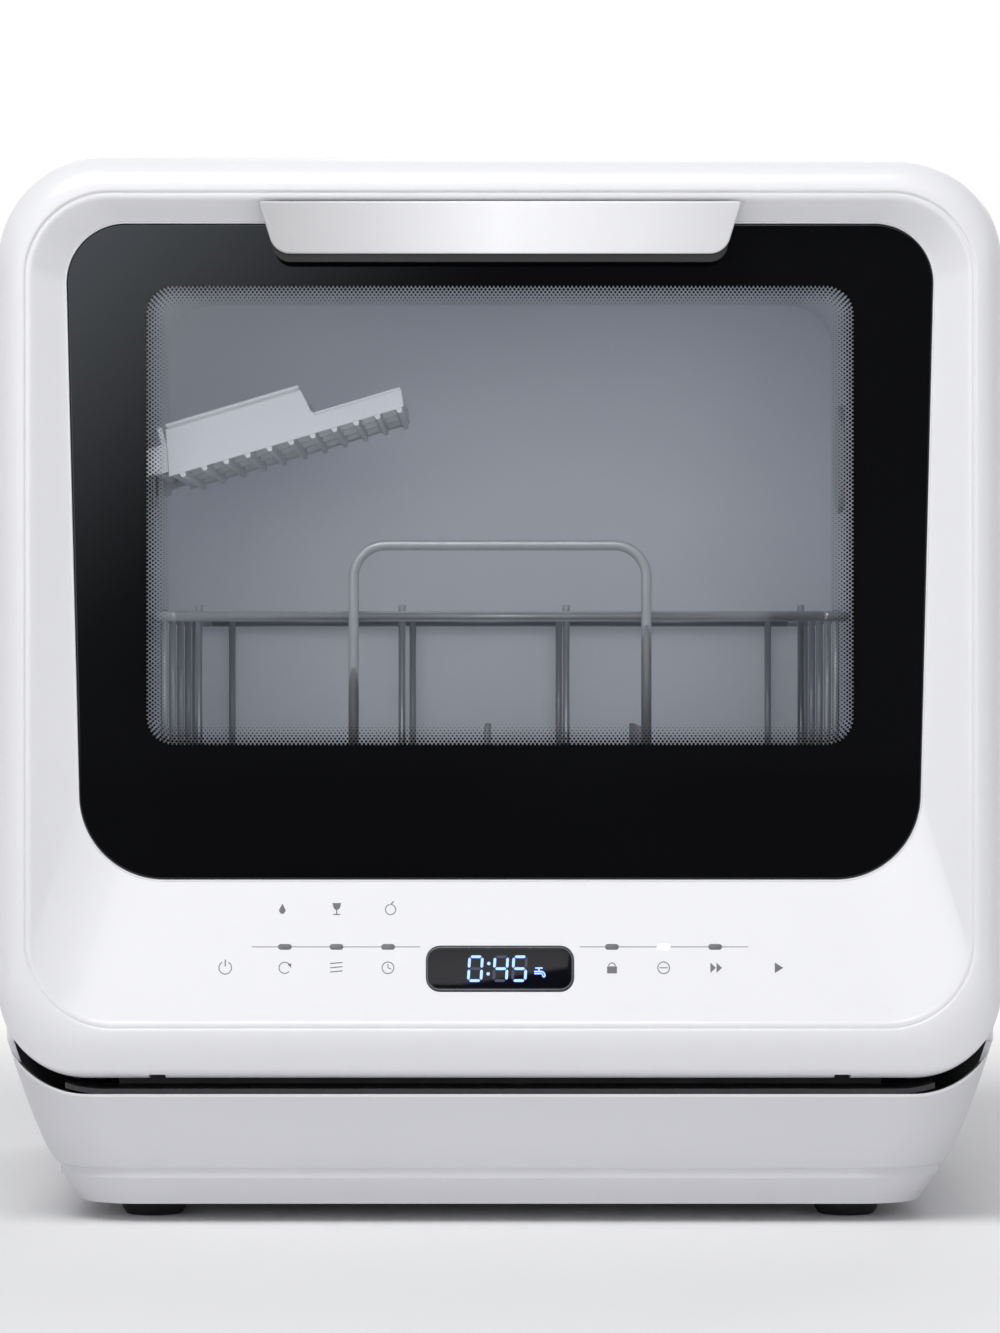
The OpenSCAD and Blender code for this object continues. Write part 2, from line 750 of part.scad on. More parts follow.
module filter_cup() {
    cup_bottom = sump_bottom + 5.3;
    cup_top = tub_floor + 1.3;
    color(soft_grey) translate([filter_x, filter_y, 0]) difference() {
        union() {
            translate([0, 0, cup_bottom]) cylinder(r = filter_r, h = cup_top - cup_bottom);
            translate([0, 0, cup_top]) cylinder(r = filter_r + 5, h = 1.6);
            // The grip across the top
            block([-filter_r + 4, -2.5, cup_top], [filter_r - 4, 2.5, cup_top + 8]);
        }
        difference() {
            translate([0, 0, cup_bottom + 2]) cylinder(r = filter_r - 2, h = 80);
            block([-filter_r, -2.5, cup_top - 4], [filter_r, 2.5, cup_top + 8]);
        }
        // Slots all round, in three rows
        for (a = [0:24:336], k = [0:2]) rotate([0, 0, a + 12 * k])
            translate([filter_r - 4, -2, cup_bottom + 5 + 18 * k]) cube([8, 4, 13]);
    }
}

volute_x = pump_x + 46;
pump_out_x = volute_x + 11;
suction_r = 11;
suction_bend = 18;
suction_x = volute_x + 34 + suction_bend;

module wash_pump() {
    color(charcoal) {
        // The motor, its fins and the volute
        bar_x(pump_y, pump_z, pump_r - 3, pump_x - 42, volute_x);
        for (i = [0:6]) bar_x(pump_y, pump_z, pump_r, pump_x - 34 + i * 9, pump_x - 30 + i * 9);
        bar_x(pump_y, pump_z, pump_r + 4, volute_x, volute_x + 22);
        bar_x(pump_y, pump_z, 13, volute_x + 22, volute_x + 34);
        bar_y(pump_out_x, pump_z + 10, 9, sump_back - 3, pump_y);
        bar_x(pump_y, pump_z, 6, pump_x - 50, pump_x - 42);
    }
}

// The bend from the sump to the eye of the pump, and the drain hose: up, back under the tub, and across
module hoses() {
    drain_hose();
    color(rubber) {
        translate([volute_x + 34, pump_y - suction_bend, pump_z]) bend(suction_r, suction_bend, 0, 90);
        bar_y(suction_x, pump_z, suction_r, sump_back - 3, pump_y - suction_bend);
    }
}

module pump_mounts() {
    color(rubber) for (x = [pump_x - 24, pump_x + 22]) difference() {
        block([x - 7, pump_y - 22, tray_floor], [x + 7, pump_y + 22, pump_z - 8]);
        bar_x(pump_y, pump_z, pump_r + fit, x - 10, x + 10);
    }
}

// A finned sleeve that heats the water in the pump's outlet
module flow_heater() {
    color(steel) difference() {
        union() {
            bar_y(pump_out_x, pump_z + 10, 12, sump_back + 3, pump_y - pump_r - 6);
            for (i = [0:3]) bar_y(pump_out_x, pump_z + 10, 15, sump_back + 4 + i * 4,
                sump_back + 6 + i * 4);
        }
        bar_y(pump_out_x, pump_z + 10, 9, sump_back, pump_y);
    }
}

module drain_pump() {
    z = drain_pump_z;
    color(shade_white) {
        bar_y(filter_x, z, 11.8, sump_back - 3, sump_back);
        bar_y(filter_x, z, 17, sump_back, sump_back + 20);
        bar_y(filter_x, z, 14, sump_back + 20, sump_back + 52);
        block([filter_x - 9, sump_back + 24, tray_floor], [filter_x + 9, sump_back + 48, z - 10]);
        translate([filter_x, sump_back + 10, z]) cylinder(r = 7, h = 22);
    }
}

// A hose bend: a quarter turn about a centre
module bend(r, bend_r, start, sweep) {
    rotate_extrude(angle = sweep, start = start) translate([bend_r, 0]) circle(r);
}

module drain_hose() {
    r = 8;
    turn = 14;
    y0 = sump_back + 10;
    z0 = drain_pump_z + 22;
    run_z = drain_z - 2 * turn;
    run_y = y_tub_back + 10;
    color(rubber) {
        if (run_z - turn > z0) translate([filter_x, y0, z0]) cylinder(r = r, h = run_z - turn - z0);
        translate([filter_x, y0 + turn, run_z - turn]) rotate([90, 0, 90]) bend(r, turn, 90, 90);
        bar_y(filter_x, run_z, r, y0 + turn, run_y - turn);
        translate([filter_x, run_y - turn, run_z + turn]) rotate([90, 0, 90]) bend(r, turn, 270, 90);
        translate([filter_x - turn, run_y, drain_z - turn]) rotate([90, 0, 0]) bend(r, turn, 0, 90);
        bar_x(run_y, drain_z, r, drain_x + turn, filter_x - turn);
        translate([drain_x + turn, run_y + turn, drain_z]) bend(r, turn, 180, 90);
        bar_y(drain_x, drain_z, r, run_y + turn, y_back - 16);
    }
}

module drain_spigot() {
    color(charcoal) difference() {
        union() {
            bar_y(drain_x, drain_z, hose_r, y_back + 1.5, body_d / 2 - 0.5);
            bar_y(drain_x, drain_z, hose_r + 5, y_back, y_back + 1.5);
            bar_y(drain_x, drain_z, hose_r + 2, y_back - 16, y_back);
        }
        bar_y(drain_x, drain_z, 6, y_back - 14, y_back + 40);
    }
}

module inlet_valve() {
    color(shade_white) {
        difference() {
            union() {
                // The threaded connector, its collar and the valve body
                bar_y(inlet_x, inlet_z, thread_r, y_back + 1.5, body_d / 2);
                bar_y(inlet_x, inlet_z, thread_r + 4, y_back, y_back + 1.5);
                bar_y(inlet_x, inlet_z, thread_r, y_back - 20, y_back);
                block([inlet_x - 14, y_back - 44, inlet_z - 14], [inlet_x + 14, y_back - 20, inlet_z + 14]);
                translate([inlet_x, y_back - 32, inlet_z + 14]) cylinder(r = 11, h = 22);
                translate([inlet_x, y_back - 32, inlet_z - 25]) cylinder(r = 7, h = 11);
            }
            bar_y(inlet_x, inlet_z, 9.5, y_back - 16, y_back + 40);
        }
    }
}

module cord_gland() {
    color(charcoal) difference() {
        union() {
            bar_y(gland_x, gland_z, cord_r + 4.8, y_back - 7, y_back);
            bar_y(gland_x, gland_z, cord_r + 7, y_back, y_back + 5);
        }
        bar_y(gland_x, gland_z, cord_r, y_back - 10, y_back + 10);
    }
}

module water_tank() {
    // The rest of the space behind the tub, fixed to the rear panel
    color([0.85, 0.9, 0.92]) difference() {
        union() {
            upright(tank_front, y_back - 12) translate([0, (tank_bottom + tank_top) / 2])
                rounded(tank_w, tank_top - tank_bottom, 16);
            // Feet against the rear panel, clear of the louvres
            for (x = [-1, 1], z = [tank_bottom + 30, tank_top - 30])
                bar_y(x * (tank_w / 2 - 22), z, 8, y_back - 12, y_back - rear_t);
        }
        upright(tank_front + 2, y_back - 14) translate([0, (tank_bottom + tank_top) / 2])
            rounded(tank_w - 4, tank_top - tank_bottom - 4, 14);
        translate([fill_x, fill_y, tank_top - 10]) cylinder(r = 12, h = 20);
    }
}

fill_rim_z = casing_top + 0.7;

module fill_funnel() {
    color(white) translate([fill_x, fill_y, 0]) difference() {
        union() {
            // A rim that lies on the casing, and the funnel below it
            translate([0, 0, casing_top]) cylinder(r = fill_r + 6, h = 0.7);
            translate([0, 0, casing_top - 14]) cylinder(r = fill_r + 4 - fit, h = 14);
            translate([0, 0, casing_top - 30]) cylinder(r1 = 14, r2 = fill_r + 4 - fit, h = 16);
            translate([0, 0, tank_top]) cylinder(r = 14, h = casing_top - 30 - tank_top + eps);
            translate([0, 0, tank_top - 8]) cylinder(r = 12 - fit, h = 9);
        }
        // The seat of the lid, the bowl and the neck
        translate([0, 0, casing_top - 2]) cylinder(r = fill_r + 0.6, h = 6);
        translate([0, 0, casing_top - 13]) cylinder(r = fill_r - 3, h = 14);
        translate([0, 0, casing_top - 29]) cylinder(r1 = 11, r2 = fill_r - 3, h = 16.01);
        translate([0, 0, tank_top - 20]) cylinder(r = 10, h = 100);
        // The slot for the hinge knuckle, with two lugs for its pin
        difference() {
            block([-16, fill_r - 4, casing_top - 6], [16, fill_r + 3.4, casing_top + 4]);
            for (s = [-1, 1]) {
                block([s * 12.5 - 1, fill_r - 2.2, casing_top - 7],
                    [s * 12.5 + 1, fill_r + 2.2, lid_axis_z]);
                bar_x(fill_r, lid_axis_z, 2.1, s * 12.5 - 1, s * 12.5 + 1);
            }
        }
    }
    color(steel) bar_x(lid_axis_y, lid_axis_z, 1, fill_x - 13.5, fill_x + 13.5);
}

lid_axis_y = fill_y + fill_r;
lid_axis_z = casing_top - 1.4;

module fill_lid() {
    color(white) difference() {
        union() {
            translate([fill_x, fill_y, casing_top - 1.6]) cylinder(r = fill_r, h = 2.3);
            bar_x(lid_axis_y, lid_axis_z, 2.1, fill_x - 9, fill_x + 9);
        }
        // A finger scoop at the front edge
        translate([fill_x, fill_y - fill_r - 6, casing_top - 3]) cylinder(r = 11, h = 6);
        bar_x(lid_axis_y, lid_axis_z, 1.05, fill_x - 20, fill_x + 20);
    }
}

module fan_housing() {
    x0 = tub_w / 2 + tub_wall;
    color(charcoal) difference() {
        block([x0, fan_y - fan_r - 5, fan_z - fan_r - 5], [x0 + 26, fan_y + fan_r + 5, fan_z + fan_r + 5]);
        bar_x(fan_y, fan_z, fan_r, x0 + 3, x0 + 30);
        for (a = [0:60:300]) bar_x(fan_y + 16 * cos(a), fan_z + 16 * sin(a), 6, x0 - 1, x0 + 5);
    }
    color(charcoal) bar_x(fan_y, fan_z, 2.5, x0 + 3, x0 + 20);
}

module fan_rotor() {
    x0 = tub_w / 2 + tub_wall;
    color(soft_grey) difference() {
        union() {
            bar_x(fan_y, fan_z, 9, x0 + 6, x0 + 18);
            for (i = [0:6]) translate([x0 + 12, fan_y, fan_z]) rotate([i * 360 / 7, 0, 0])
                translate([0, 0, 8]) rotate([0, 0, 28]) translate([-5, -1, 0]) cube([10, 2, fan_r - 10]);
        }
        bar_x(fan_y, fan_z, 2.56, x0, x0 + 30);
    }
}

module latch_block() {
    color(charcoal) difference() {
        union() {
            block([-24, y_tub, latch_z - 5], [24, y_tub + 24, latch_z + 11]);
            block([-18, y_tub + 4, latch_z - 13], [18, y_tub + 24, latch_z]);
        }
        block([-13, y_tub - 1, latch_z - 4], [13, y_tub + 20, latch_z + 6]);
        block([-6.3, y_tub + 6.9, latch_z - 12], [6.3, y_tub + 15.1, latch_z]);
    }
}

// The spring plunger under the strike
module latch_plunger() {
    color(white) {
        block([-6, y_tub + 7.2, latch_z - 8.5], [6, y_tub + 14.8, latch_z - 3.9]);
        bar_x(y_tub + 11, latch_z - 3.9, 1.6, -6, 6);
    }
}

// The fixed half of the hinge: a foot, an ear and the pin
module hinge_brackets() {
    color(steel) for (s = [-1, 1]) {
        bar_x(y_axis, z_axis, pin_r, s * hinge_x - (s < 0 ? 12 : 4), s * hinge_x + (s > 0 ? 12 : 4));
        union() {
            // The foot behind the front frame, and the ear that reaches through it into the door
            block([s * hinge_x - 14, y_tub, z_axis - 24], [s * hinge_x + 14, y_tub + 2, z_axis + 3]);
            block([s * hinge_x - ear_t / 2, y_axis, z_axis - ear_r],
                [s * hinge_x + ear_t / 2, y_tub + 2, z_axis + 3]);
            bar_x(y_axis, z_axis, ear_r, s * hinge_x - ear_t / 2, s * hinge_x + ear_t / 2);
        }
    }
}

power_board_w = 40;
power_board_len = 75;

module power_board() {
    x = power_board_w / 2 - 3;
    y = power_board_len / 2 - 3;
    translate([tray_half - power_board_w / 2 - 27, tray_back - power_board_len / 2 - 24, tray_floor]) {
        color([0.1, 0.35, 0.2]) flat(4, 5.6) square([power_board_w, power_board_len], center = true);
        color(shade_white) for (sx = [-1, 1], sy = [-1, 1]) translate([sx * x, sy * y, 0])
            cylinder(r = 2, h = 4);
        color(charcoal) {
            block([-12, -27, 5.6], [4, -9, 20]);
            block([-10, -1, 5.6], [6, 13, 17]);
            translate([12, -15, 5.6]) cylinder(r = 5, h = 16);
            translate([12, 3, 5.6]) cylinder(r = 4, h = 12);
        }
    }
}

float_x = -tray_half + 61;
float_y = tray_front + 98;

module overflow_float() {
    color(white) translate([float_x, float_y, tray_floor + 0.3]) difference() {
        cylinder(r = 16, h = 9);
        translate([0, 0, -1]) cylinder(r = 3.1, h = 20);
        translate([0, 0, 3]) difference() {
            cylinder(r = 13, h = 9);
            cylinder(r = 6, h = 9);
        }
    }
}

module float_post() {
    color(charcoal) translate([float_x, float_y, tray_floor]) {
        cylinder(r = 3, h = 26);
        translate([0, 0, 22]) cylinder(r = 8, h = 8);
    }
}

// ---- The door ----

y_lip = y_axis - roll_r + casing_wall;
lip = 3;

module door_rim() {
    color(white) difference() {
        door_form();
        difference() {
            union() {
                door_form(casing_wall, lip);
                upright(y_door - 1, y_door + 5) translate([0, door_mid + 4])
                    rounded(body_w - 2 * casing_wall, door_h - 8 - 2 * casing_wall, corner_r - casing_wall);
            }
            // The ledge that carries the liner, at the top and the sides
            upright(liner_front - 3, liner_front) difference() {
                translate([0, door_mid]) door_outline(casing_wall / 2);
                translate([0, door_mid - 30]) rounded(body_w - 24, door_h + 36, corner_r - 12);
            }
        }
        upright(y_front - 5, y_lip + 5) fascia_outline();
        hinge_notches();
    }
}

module door_fascia() {
    color(white) difference() {
        union() {
            upright(y_fascia, y_lip) fascia_outline(fit);
            // The flange behind the lip of the rim
            upright(y_lip, y_lip + 1.4) fascia_outline(-2.2);
            intersection() {
                translate([0, fascia_wall, 0]) dish();
                upright(y_fascia, y_glass_back) fascia_outline(fit);
            }
            // The collar round the glass
            upright(y_glass, y_glass_back) glass_outline(fascia_wall);
        }
        dish();
        upright(y_glass - 1, y_glass_back + 5) glass_outline(glass_fit);
        on_console(0, display_z) translate([0, 0, -8]) linear_extrude(16)
            rounded(display_w + 2 * fit, display_h + 2 * fit, 6);
        for (x = lamp_places()) on_console(x, lamp_z) translate([0, 0, -8]) linear_extrude(16)
            rounded(5.6 + fit, 2.2 + fit, 1.1);
    }
}

function lamp_places() = [for (s = [-1, 1], i = [0:2]) s * (lamp_inner_x + i * lamp_pitch)];

module indicator_lamps() {
    color([0.3, 0.31, 0.33]) for (x = lamp_places()) on_console(x, lamp_z) translate([0, 0, -2.6])
        linear_extrude(2.7) rounded(5.6, 2.2, 1.05);
}

module display_lens() {
    color(charcoal) on_console(0, display_z) translate([0, 0, -2.4]) linear_extrude(2.8)
        rounded(display_w, display_h, 5.9);
}

// The board behind the console: it stands on the back of the fascia and carries the display
module control_board() {
    board_z = display_z + 1;
    color([0.1, 0.35, 0.2]) on_console(0, board_z) translate([0, 0, -8]) difference() {
        union() {
            linear_extrude(1.6) square([250, 34], center = true);
            for (x = [-118, -60, 60, 118], y = [-11, 11])
                translate([x, y, 0]) cylinder(r = 2.5, h = 8 - fascia_wall * cos(console_tilt));
            translate([0, -1, 1]) linear_extrude(4.6) rounded(56, 15, 2);
        }
        for (x = [-118, 118], y = [-11, 11]) translate([x, y, -1]) cylinder(r = 1.2, h = 6);
    }
}

module door_glass() {
    color([0.6, 0.65, 0.68, 0.35]) upright(y_glass, y_glass_back) glass_outline();
}

module window_outline(grow = 0) {
    translate([0, window_mid]) rounded(window_w + 2 * grow, window_h + 2 * grow, window_r + grow);
}

module glass_mask() {
    color(charcoal) upright(y_glass_back, y_glass_back + 0.6) difference() {
        glass_outline();
        window_outline();
    }
}

module window_spacer() {
    color(charcoal) upright(y_glass_back + 0.6, liner_front - pane_t) difference() {
        window_outline(14);
        window_outline(5);
    }
}

module inner_pane() {
    color([0.6, 0.65, 0.68, 0.35]) upright(liner_front - pane_t, liner_front) window_outline(14);
}

module liner_outline() {
    m = casing_wall + fit;
    // The roll has drawn in the bottom of the door this far where the back of the liner is
    mb = m + roll_r * (1 - cos(asin((y_door - y_axis) / roll_r)));
    difference() {
        translate([0, door_mid + (mb - m) / 2]) rounded(body_w - 2 * m, door_h - m - mb, corner_r - m);
        translate([-300, 0]) square([600, z_axis - 4]);
    }
}

module door_liner() {
    color(steel) difference() {
        union() {
            upright(liner_front, y_door) difference() {
                liner_outline();
                window_outline(6);
                translate([dispenser_x, dispenser_z]) square([dispenser_w, dispenser_h], center = true);
            }
            // A pressed bead round the window
            upright(y_door - 0.5, y_door + 1.2) difference() {
                window_outline(12);
                window_outline(8.5);
            }
        }
        hinge_notches();
        for (p = liner_screw_places()) bar_y(p[0], p[1], 1.9, liner_front - 5, y_door + 5);
    }
}

liner_screw_low = z_axis + 26;
liner_screw_high = door_top - 38;

function liner_screw_places() = [for (s = [-1, 1], i = [0:4])
    [s * (body_w / 2 - 8), liner_screw_low + i * (liner_screw_high - liner_screw_low) / 4]];

module door_screws() {
    color(steel) for (p = liner_screw_places()) {
        bar_y(p[0], p[1], 1.7, liner_front, y_door + 0.1);
        bar_y(p[0], p[1], 3.4, y_door, y_door + 1.4);
    }
}

dispenser_x = -8;
dispenser_z = 152;
dispenser_w = 126;
dispenser_h = 54;
cup_w = 52;
lid_travel = 54;
cup_x = dispenser_x - dispenser_w / 2 + 6 + cup_w / 2;

module dispenser_body() {
    w = dispenser_w / 2 - fit;
    h = dispenser_h / 2 - fit;
    color(soft_grey) difference() {
        union() {
            upright(y_door - 17, y_door + 1.2) translate([dispenser_x, dispenser_z])
                rounded(2 * w, 2 * h, 5);
            upright(y_door, y_door + 1.2) translate([dispenser_x, dispenser_z])
                rounded(2 * w + 8, 2 * h + 8, 8);
            // The two tracks of the lid
            for (s = [-1, 1]) block([dispenser_x - w, y_door, dispenser_z + s * (h - 3) - 3],
                [dispenser_x + w, y_door + 4.4, dispenser_z + s * (h - 3) + 3]);
        }
        upright(y_door - 14.5, y_door + 10) translate([cup_x, dispenser_z]) rounded(cup_w, 32, 8);
        // Grooves in the tracks
        block([dispenser_x - w - 1, y_door + 1.3, dispenser_z - h + 4],
            [dispenser_x + w + 1, y_door + 3.2, dispenser_z + h - 4]);
        block([dispenser_x - w - 1, y_door + 1.2, dispenser_z - h + 6],
            [dispenser_x + w + 1, y_door + 6, dispenser_z + h - 6]);
    }
}

module dispenser_lid() {
    h = dispenser_h / 2 - fit;
    color(shade_white) difference() {
        union() {
            block([cup_x - cup_w / 2 - 2, y_door + 1.5, dispenser_z - h + 4.3],
                [cup_x + cup_w / 2 + 2, y_door + 2.9, dispenser_z + h - 4.3]);
            block([cup_x - cup_w / 2 - 2, y_door + 1.5, dispenser_z - h + 6.4],
                [cup_x + cup_w / 2 + 2, y_door + 4, dispenser_z + h - 6.4]);
            for (i = [0:4]) block([cup_x - 12 + i * 5, y_door + 3, dispenser_z - 10],
                [cup_x - 10 + i * 5, y_door + 5, dispenser_z + 10]);
        }
    }
}

module hinge_arms() {
    color(steel) for (s = [-1, 1]) {
        x0 = s > 0 ? hinge_x + ear_t / 2 + 1.5 : -hinge_x - ear_t / 2 - 4.5;
        difference() {
            union() {
                bar_x(y_axis, z_axis, 8, x0, x0 + 3);
                block([x0, y_axis - 1, z_axis], [x0 + 3, liner_front, z_axis + 90]);
                // The foot that is riveted to the liner
                block([s > 0 ? x0 : x0 - 13, liner_front - 2, z_axis + 20],
                    [s > 0 ? x0 + 16 : x0 + 3, liner_front, z_axis + 90]);
            }
            bar_x(y_axis, z_axis, pin_r + 0.05, x0 - 5, x0 + 8);
            for (z = [34, 54, 74]) bar_x(y_axis + 6, z_axis + z, 2.5, x0 - 1, x0 + 5);
        }
    }
}

module door_strike() {
    color(steel) {
        block([-20, y_door, latch_z - 5], [20, y_door + 2, latch_z + 9]);
        block([-9, y_door + 1, latch_z - 2], [9, y_tub + 16, latch_z + 2]);
    }
}

handle_top = fascia_top - 1.2 - 2;

// A trapezoid with rounded lower corners
module handle_outline(t) {
    bottom_w = handle_w - 14;
    r = 7;
    hull() {
        translate([-handle_w / 2, handle_top - 0.5]) square([handle_w, 0.5]);
        for (s = [-1, 1]) translate([s * (bottom_w / 2 - r), handle_top - handle_h + r])
            circle(r, $fn = 32);
    }
}

module handle() {
    color(steel) {
        // The face plate
        upright(y_front, y_front + handle_t) handle_outline();
        // The block behind its upper edge, seated on the slope of the fascia
        intersection() {
            block([-handle_w / 2 + 8, y_front + handle_t, handle_top - 7],
                [handle_w / 2 - 8, y_glass, handle_top]);
            dish();
        }
    }
}

// ---- The basket ----

// A wire bend of a quarter turn, standing in a plane across the basket
wire_bend = 10;

module heavy_loop_front() {
    half = basket_loop_w / 2;
    y = basket_front - heavy_wire * 0.9;
    r = heavy_wire / 2;
    for (s = [-1, 1]) {
        translate([s * half, y, basket_floor_z]) cylinder(r = r, h = basket_loop_z - 14 - basket_floor_z);
        translate([s * (half - 14), y, basket_loop_z - 14]) rotate([90, 0, 0])
            bend(r, 14, s > 0 ? 0 : 90, 90);
    }
    bar_x(y, basket_loop_z, r, -half + 14, half - 14);
}

function front_wire_places() = [-basket_half + 20, -43, 29, basket_half - 20];
function side_wire_places() = [for (i = [0:4]) basket_front + 24 + i * (basket_len - 48) / 4];

module basket_front_wall() {
    color(steel) {
        heavy_loop_front();
        bar_x(basket_front, basket_rim_z, heavy_wire / 2, -basket_half + wire_bend,
            basket_half - wire_bend);
        for (x = front_wire_places()) {
            y = basket_front + (heavy_wire + thin_wire) * 0.42;
            translate([x, y, basket_floor_z + wire_bend])
                cylinder(r = thin_wire / 2, h = basket_rim_z + 5 - basket_floor_z - wire_bend);
        }
        bar_x(basket_front, basket_floor_z + 34, heavy_wire / 2 - 0.4, -basket_half + wire_bend,
            basket_half - wire_bend);
    }
}

module basket_back_wall() {
    color(steel) {
        bar_x(basket_back, basket_rim_z, heavy_wire / 2, -basket_half + wire_bend, basket_half - wire_bend);
        bar_x(basket_back, basket_floor_z + 34, heavy_wire / 2 - 0.4, -basket_half + wire_bend,
            basket_half - wire_bend);
        for (x = front_wire_places())
            translate([x, basket_back - (heavy_wire + thin_wire) * 0.42, basket_floor_z + wire_bend])
                cylinder(r = thin_wire / 2, h = basket_rim_z + 3 - basket_floor_z - wire_bend);
    }
}

module basket_side_walls() {
    r = heavy_wire / 2;
    color(steel) for (s = [-1, 1]) {
        for (z = [basket_rim_z, basket_floor_z + 34]) {
            rr = z == basket_rim_z ? r : r - 0.4;
            bar_y(s * basket_half, z, rr, basket_front + wire_bend, basket_back - wire_bend);
            translate([s * (basket_half - wire_bend), basket_front + wire_bend, z])
                bend(rr, wire_bend, s > 0 ? 270 : 180, 90);
            translate([s * (basket_half - wire_bend), basket_back - wire_bend, z])
                bend(rr, wire_bend, s > 0 ? 0 : 90, 90);
        }
        for (y = side_wire_places())
            translate([s * (basket_half - (heavy_wire + thin_wire) * 0.42), y,
                basket_floor_z + thin_wire * 0.8 + wire_bend])
                cylinder(r = thin_wire / 2,
                    h = basket_rim_z + 3 - basket_floor_z - thin_wire * 0.8 - wire_bend);
    }
}

module basket_floor() {
    in = (heavy_wire + thin_wire) * 0.42;
    r = thin_wire / 2;
    color(steel) {
        // Wires that run front to back, bent up at both ends
        for (x = front_wire_places()) {
            bar_y(x, basket_floor_z, r, basket_front + in + wire_bend, basket_back - in - wire_bend);
            translate([x, basket_front + in + wire_bend, basket_floor_z + wire_bend]) rotate([90, 0, 90])
                bend(r, wire_bend, 180, 90);
            translate([x, basket_back - in - wire_bend, basket_floor_z + wire_bend]) rotate([90, 0, 90])
                bend(r, wire_bend, 270, 90);
            // A crimp at the foot of each bend
            for (y = [basket_front + in + wire_bend, basket_back - in - wire_bend])
                bar_y(x, basket_floor_z, r + 0.15, y - 0.7, y + 0.7);
        }
        for (x = [-basket_half + 64, tine_rows[0], tine_rows[1], basket_half - 54])
            bar_y(x, basket_floor_z, r, basket_front + 14, basket_back - 14);
        // Wires that run from side to side, bent up at both ends
        for (y = side_wire_places()) {
            z = basket_floor_z + thin_wire * 0.8;
            bar_x(y, z, r, -basket_half + in + wire_bend, basket_half - in - wire_bend);
            for (s = [-1, 1]) translate([s * (basket_half - in - wire_bend), y, z + wire_bend])
                rotate([90, 0, 0])
                bend(r, wire_bend, s > 0 ? 270 : 180, 90);
        }
        for (y = [basket_front + 14, basket_back - 14])
            bar_x(y, basket_floor_z - thin_wire * 0.8, heavy_wire / 2 - 0.4, -basket_half + 12,
                basket_half - 12);
        for (s = [-1, 1]) bar_y(s * (basket_half - 12), basket_floor_z - thin_wire * 0.8,
            heavy_wire / 2 - 0.4, basket_front + 14, basket_back - 14);
    }
}

tine_rows = [-8, 62];

// Two rows of pins that hold plates on edge
module plate_tines() {
    r = thin_wire / 2 - 0.2;
    z0 = basket_floor_z + thin_wire * 1.7;
    color(steel) for (row = tine_rows) {
        bar_y(row, z0, thin_wire / 2, basket_front + 30, basket_back - 30);
        for (i = [0:6]) {
            y = basket_front + 36 + i * (basket_len - 72) / 6;
            translate([row + r * 1.6, y, z0 - 1]) cylinder(r = r, h = tine_h);
        }
    }
}

module basket_glides() {
    color(soft_grey) for (s = [-1, 1]) difference() {
        union() {
            block([s * (basket_half - 4) - glide_t / 2, basket_front + 20, rail_top + 0.3],
                [s * (basket_half - 4) + glide_t / 2, basket_back - 20, rail_top + 0.3 + glide_h - 3]);
            for (y = [basket_front + 34, basket_mid_y, basket_back - 34])
                block([s > 0 ? basket_half - 16 : -basket_half + 1, y - 6, rail_top + 2.3],
                    [s > 0 ? basket_half - 1 : -basket_half + 16, y + 6, rail_top + glide_h + 2]);
        }
        bar_y(s * (basket_half - 12), basket_floor_z - thin_wire * 0.8, heavy_wire / 2 - 0.4,
            basket_front, basket_back);
    }
}

// ---- The cutlery rack ----

rack_t = 3;
rack_step = 74;
rack_pitch = 10;
rack_slots = floor((rack_len - 12) / rack_pitch);

module cutlery_rack() {
    color(soft_grey) difference() {
        union() {
            translate([rack_bar_x, rack_y0, rack_bar_z]) rotate([0, -rack_tilt, 0]) difference() {
                union() {
                    // The floor and its four walls
                    translate([7, 0.5, -8]) cube([rack_len - 2, rack_depth - 1, rack_t]);
                    for (y = [0, rack_depth - 2.5]) {
                        translate([0, y, -8]) cube([rack_step, 2.5, 23.5]);
                        translate([0, y, -8]) cube([rack_len + 6, 2.5, 8.5]);
                        translate([0, y + 2.5, 0]) rotate([90, 0, 0]) cylinder(r = 6.2, h = 2.5);
                    }
                    translate([rack_len + 3, 0.5, -8]) cube([2.5, rack_depth - 1, 8]);
                    translate([7, 0.5, -8]) cube([2.5, rack_depth - 1, 22.5]);
                    // Teeth under the floor between the slots
                    for (i = [0:rack_slots]) translate([12 + i * rack_pitch, 1, -11.5])
                        cube([2, rack_depth - 2, 4]);
                }
                // Three rows of cutlery slots
                for (i = [0:rack_slots - 1], row = [0:2])
                    translate([14.8 + i * rack_pitch, 10 + row * (rack_depth - 12) / 3, -20])
                        cube([6.4, (rack_depth - 12) / 3 - 8, 20]);
            }
            // A heel at each end that leans on the wall
            for (y = [rack_y0, rack_y0 + rack_depth - 2.5]) block([rack_bar_x - 6, y, rack_bar_z - 26],
                [rack_bar_x, y + 2.5, rack_bar_z]);
        }
        // Hooks that are open downwards, over the bar
        bar_y(rack_bar_x, rack_bar_z, rack_bar_r + 0.3, rack_y0 - 5, rack_y0 + rack_depth + 5);
        block([rack_bar_x - rack_bar_r - 0.15, rack_y0 - 5, rack_bar_z - 40],
            [rack_bar_x + rack_bar_r + 0.15, rack_y0 + rack_depth + 5, rack_bar_z]);
    }
}

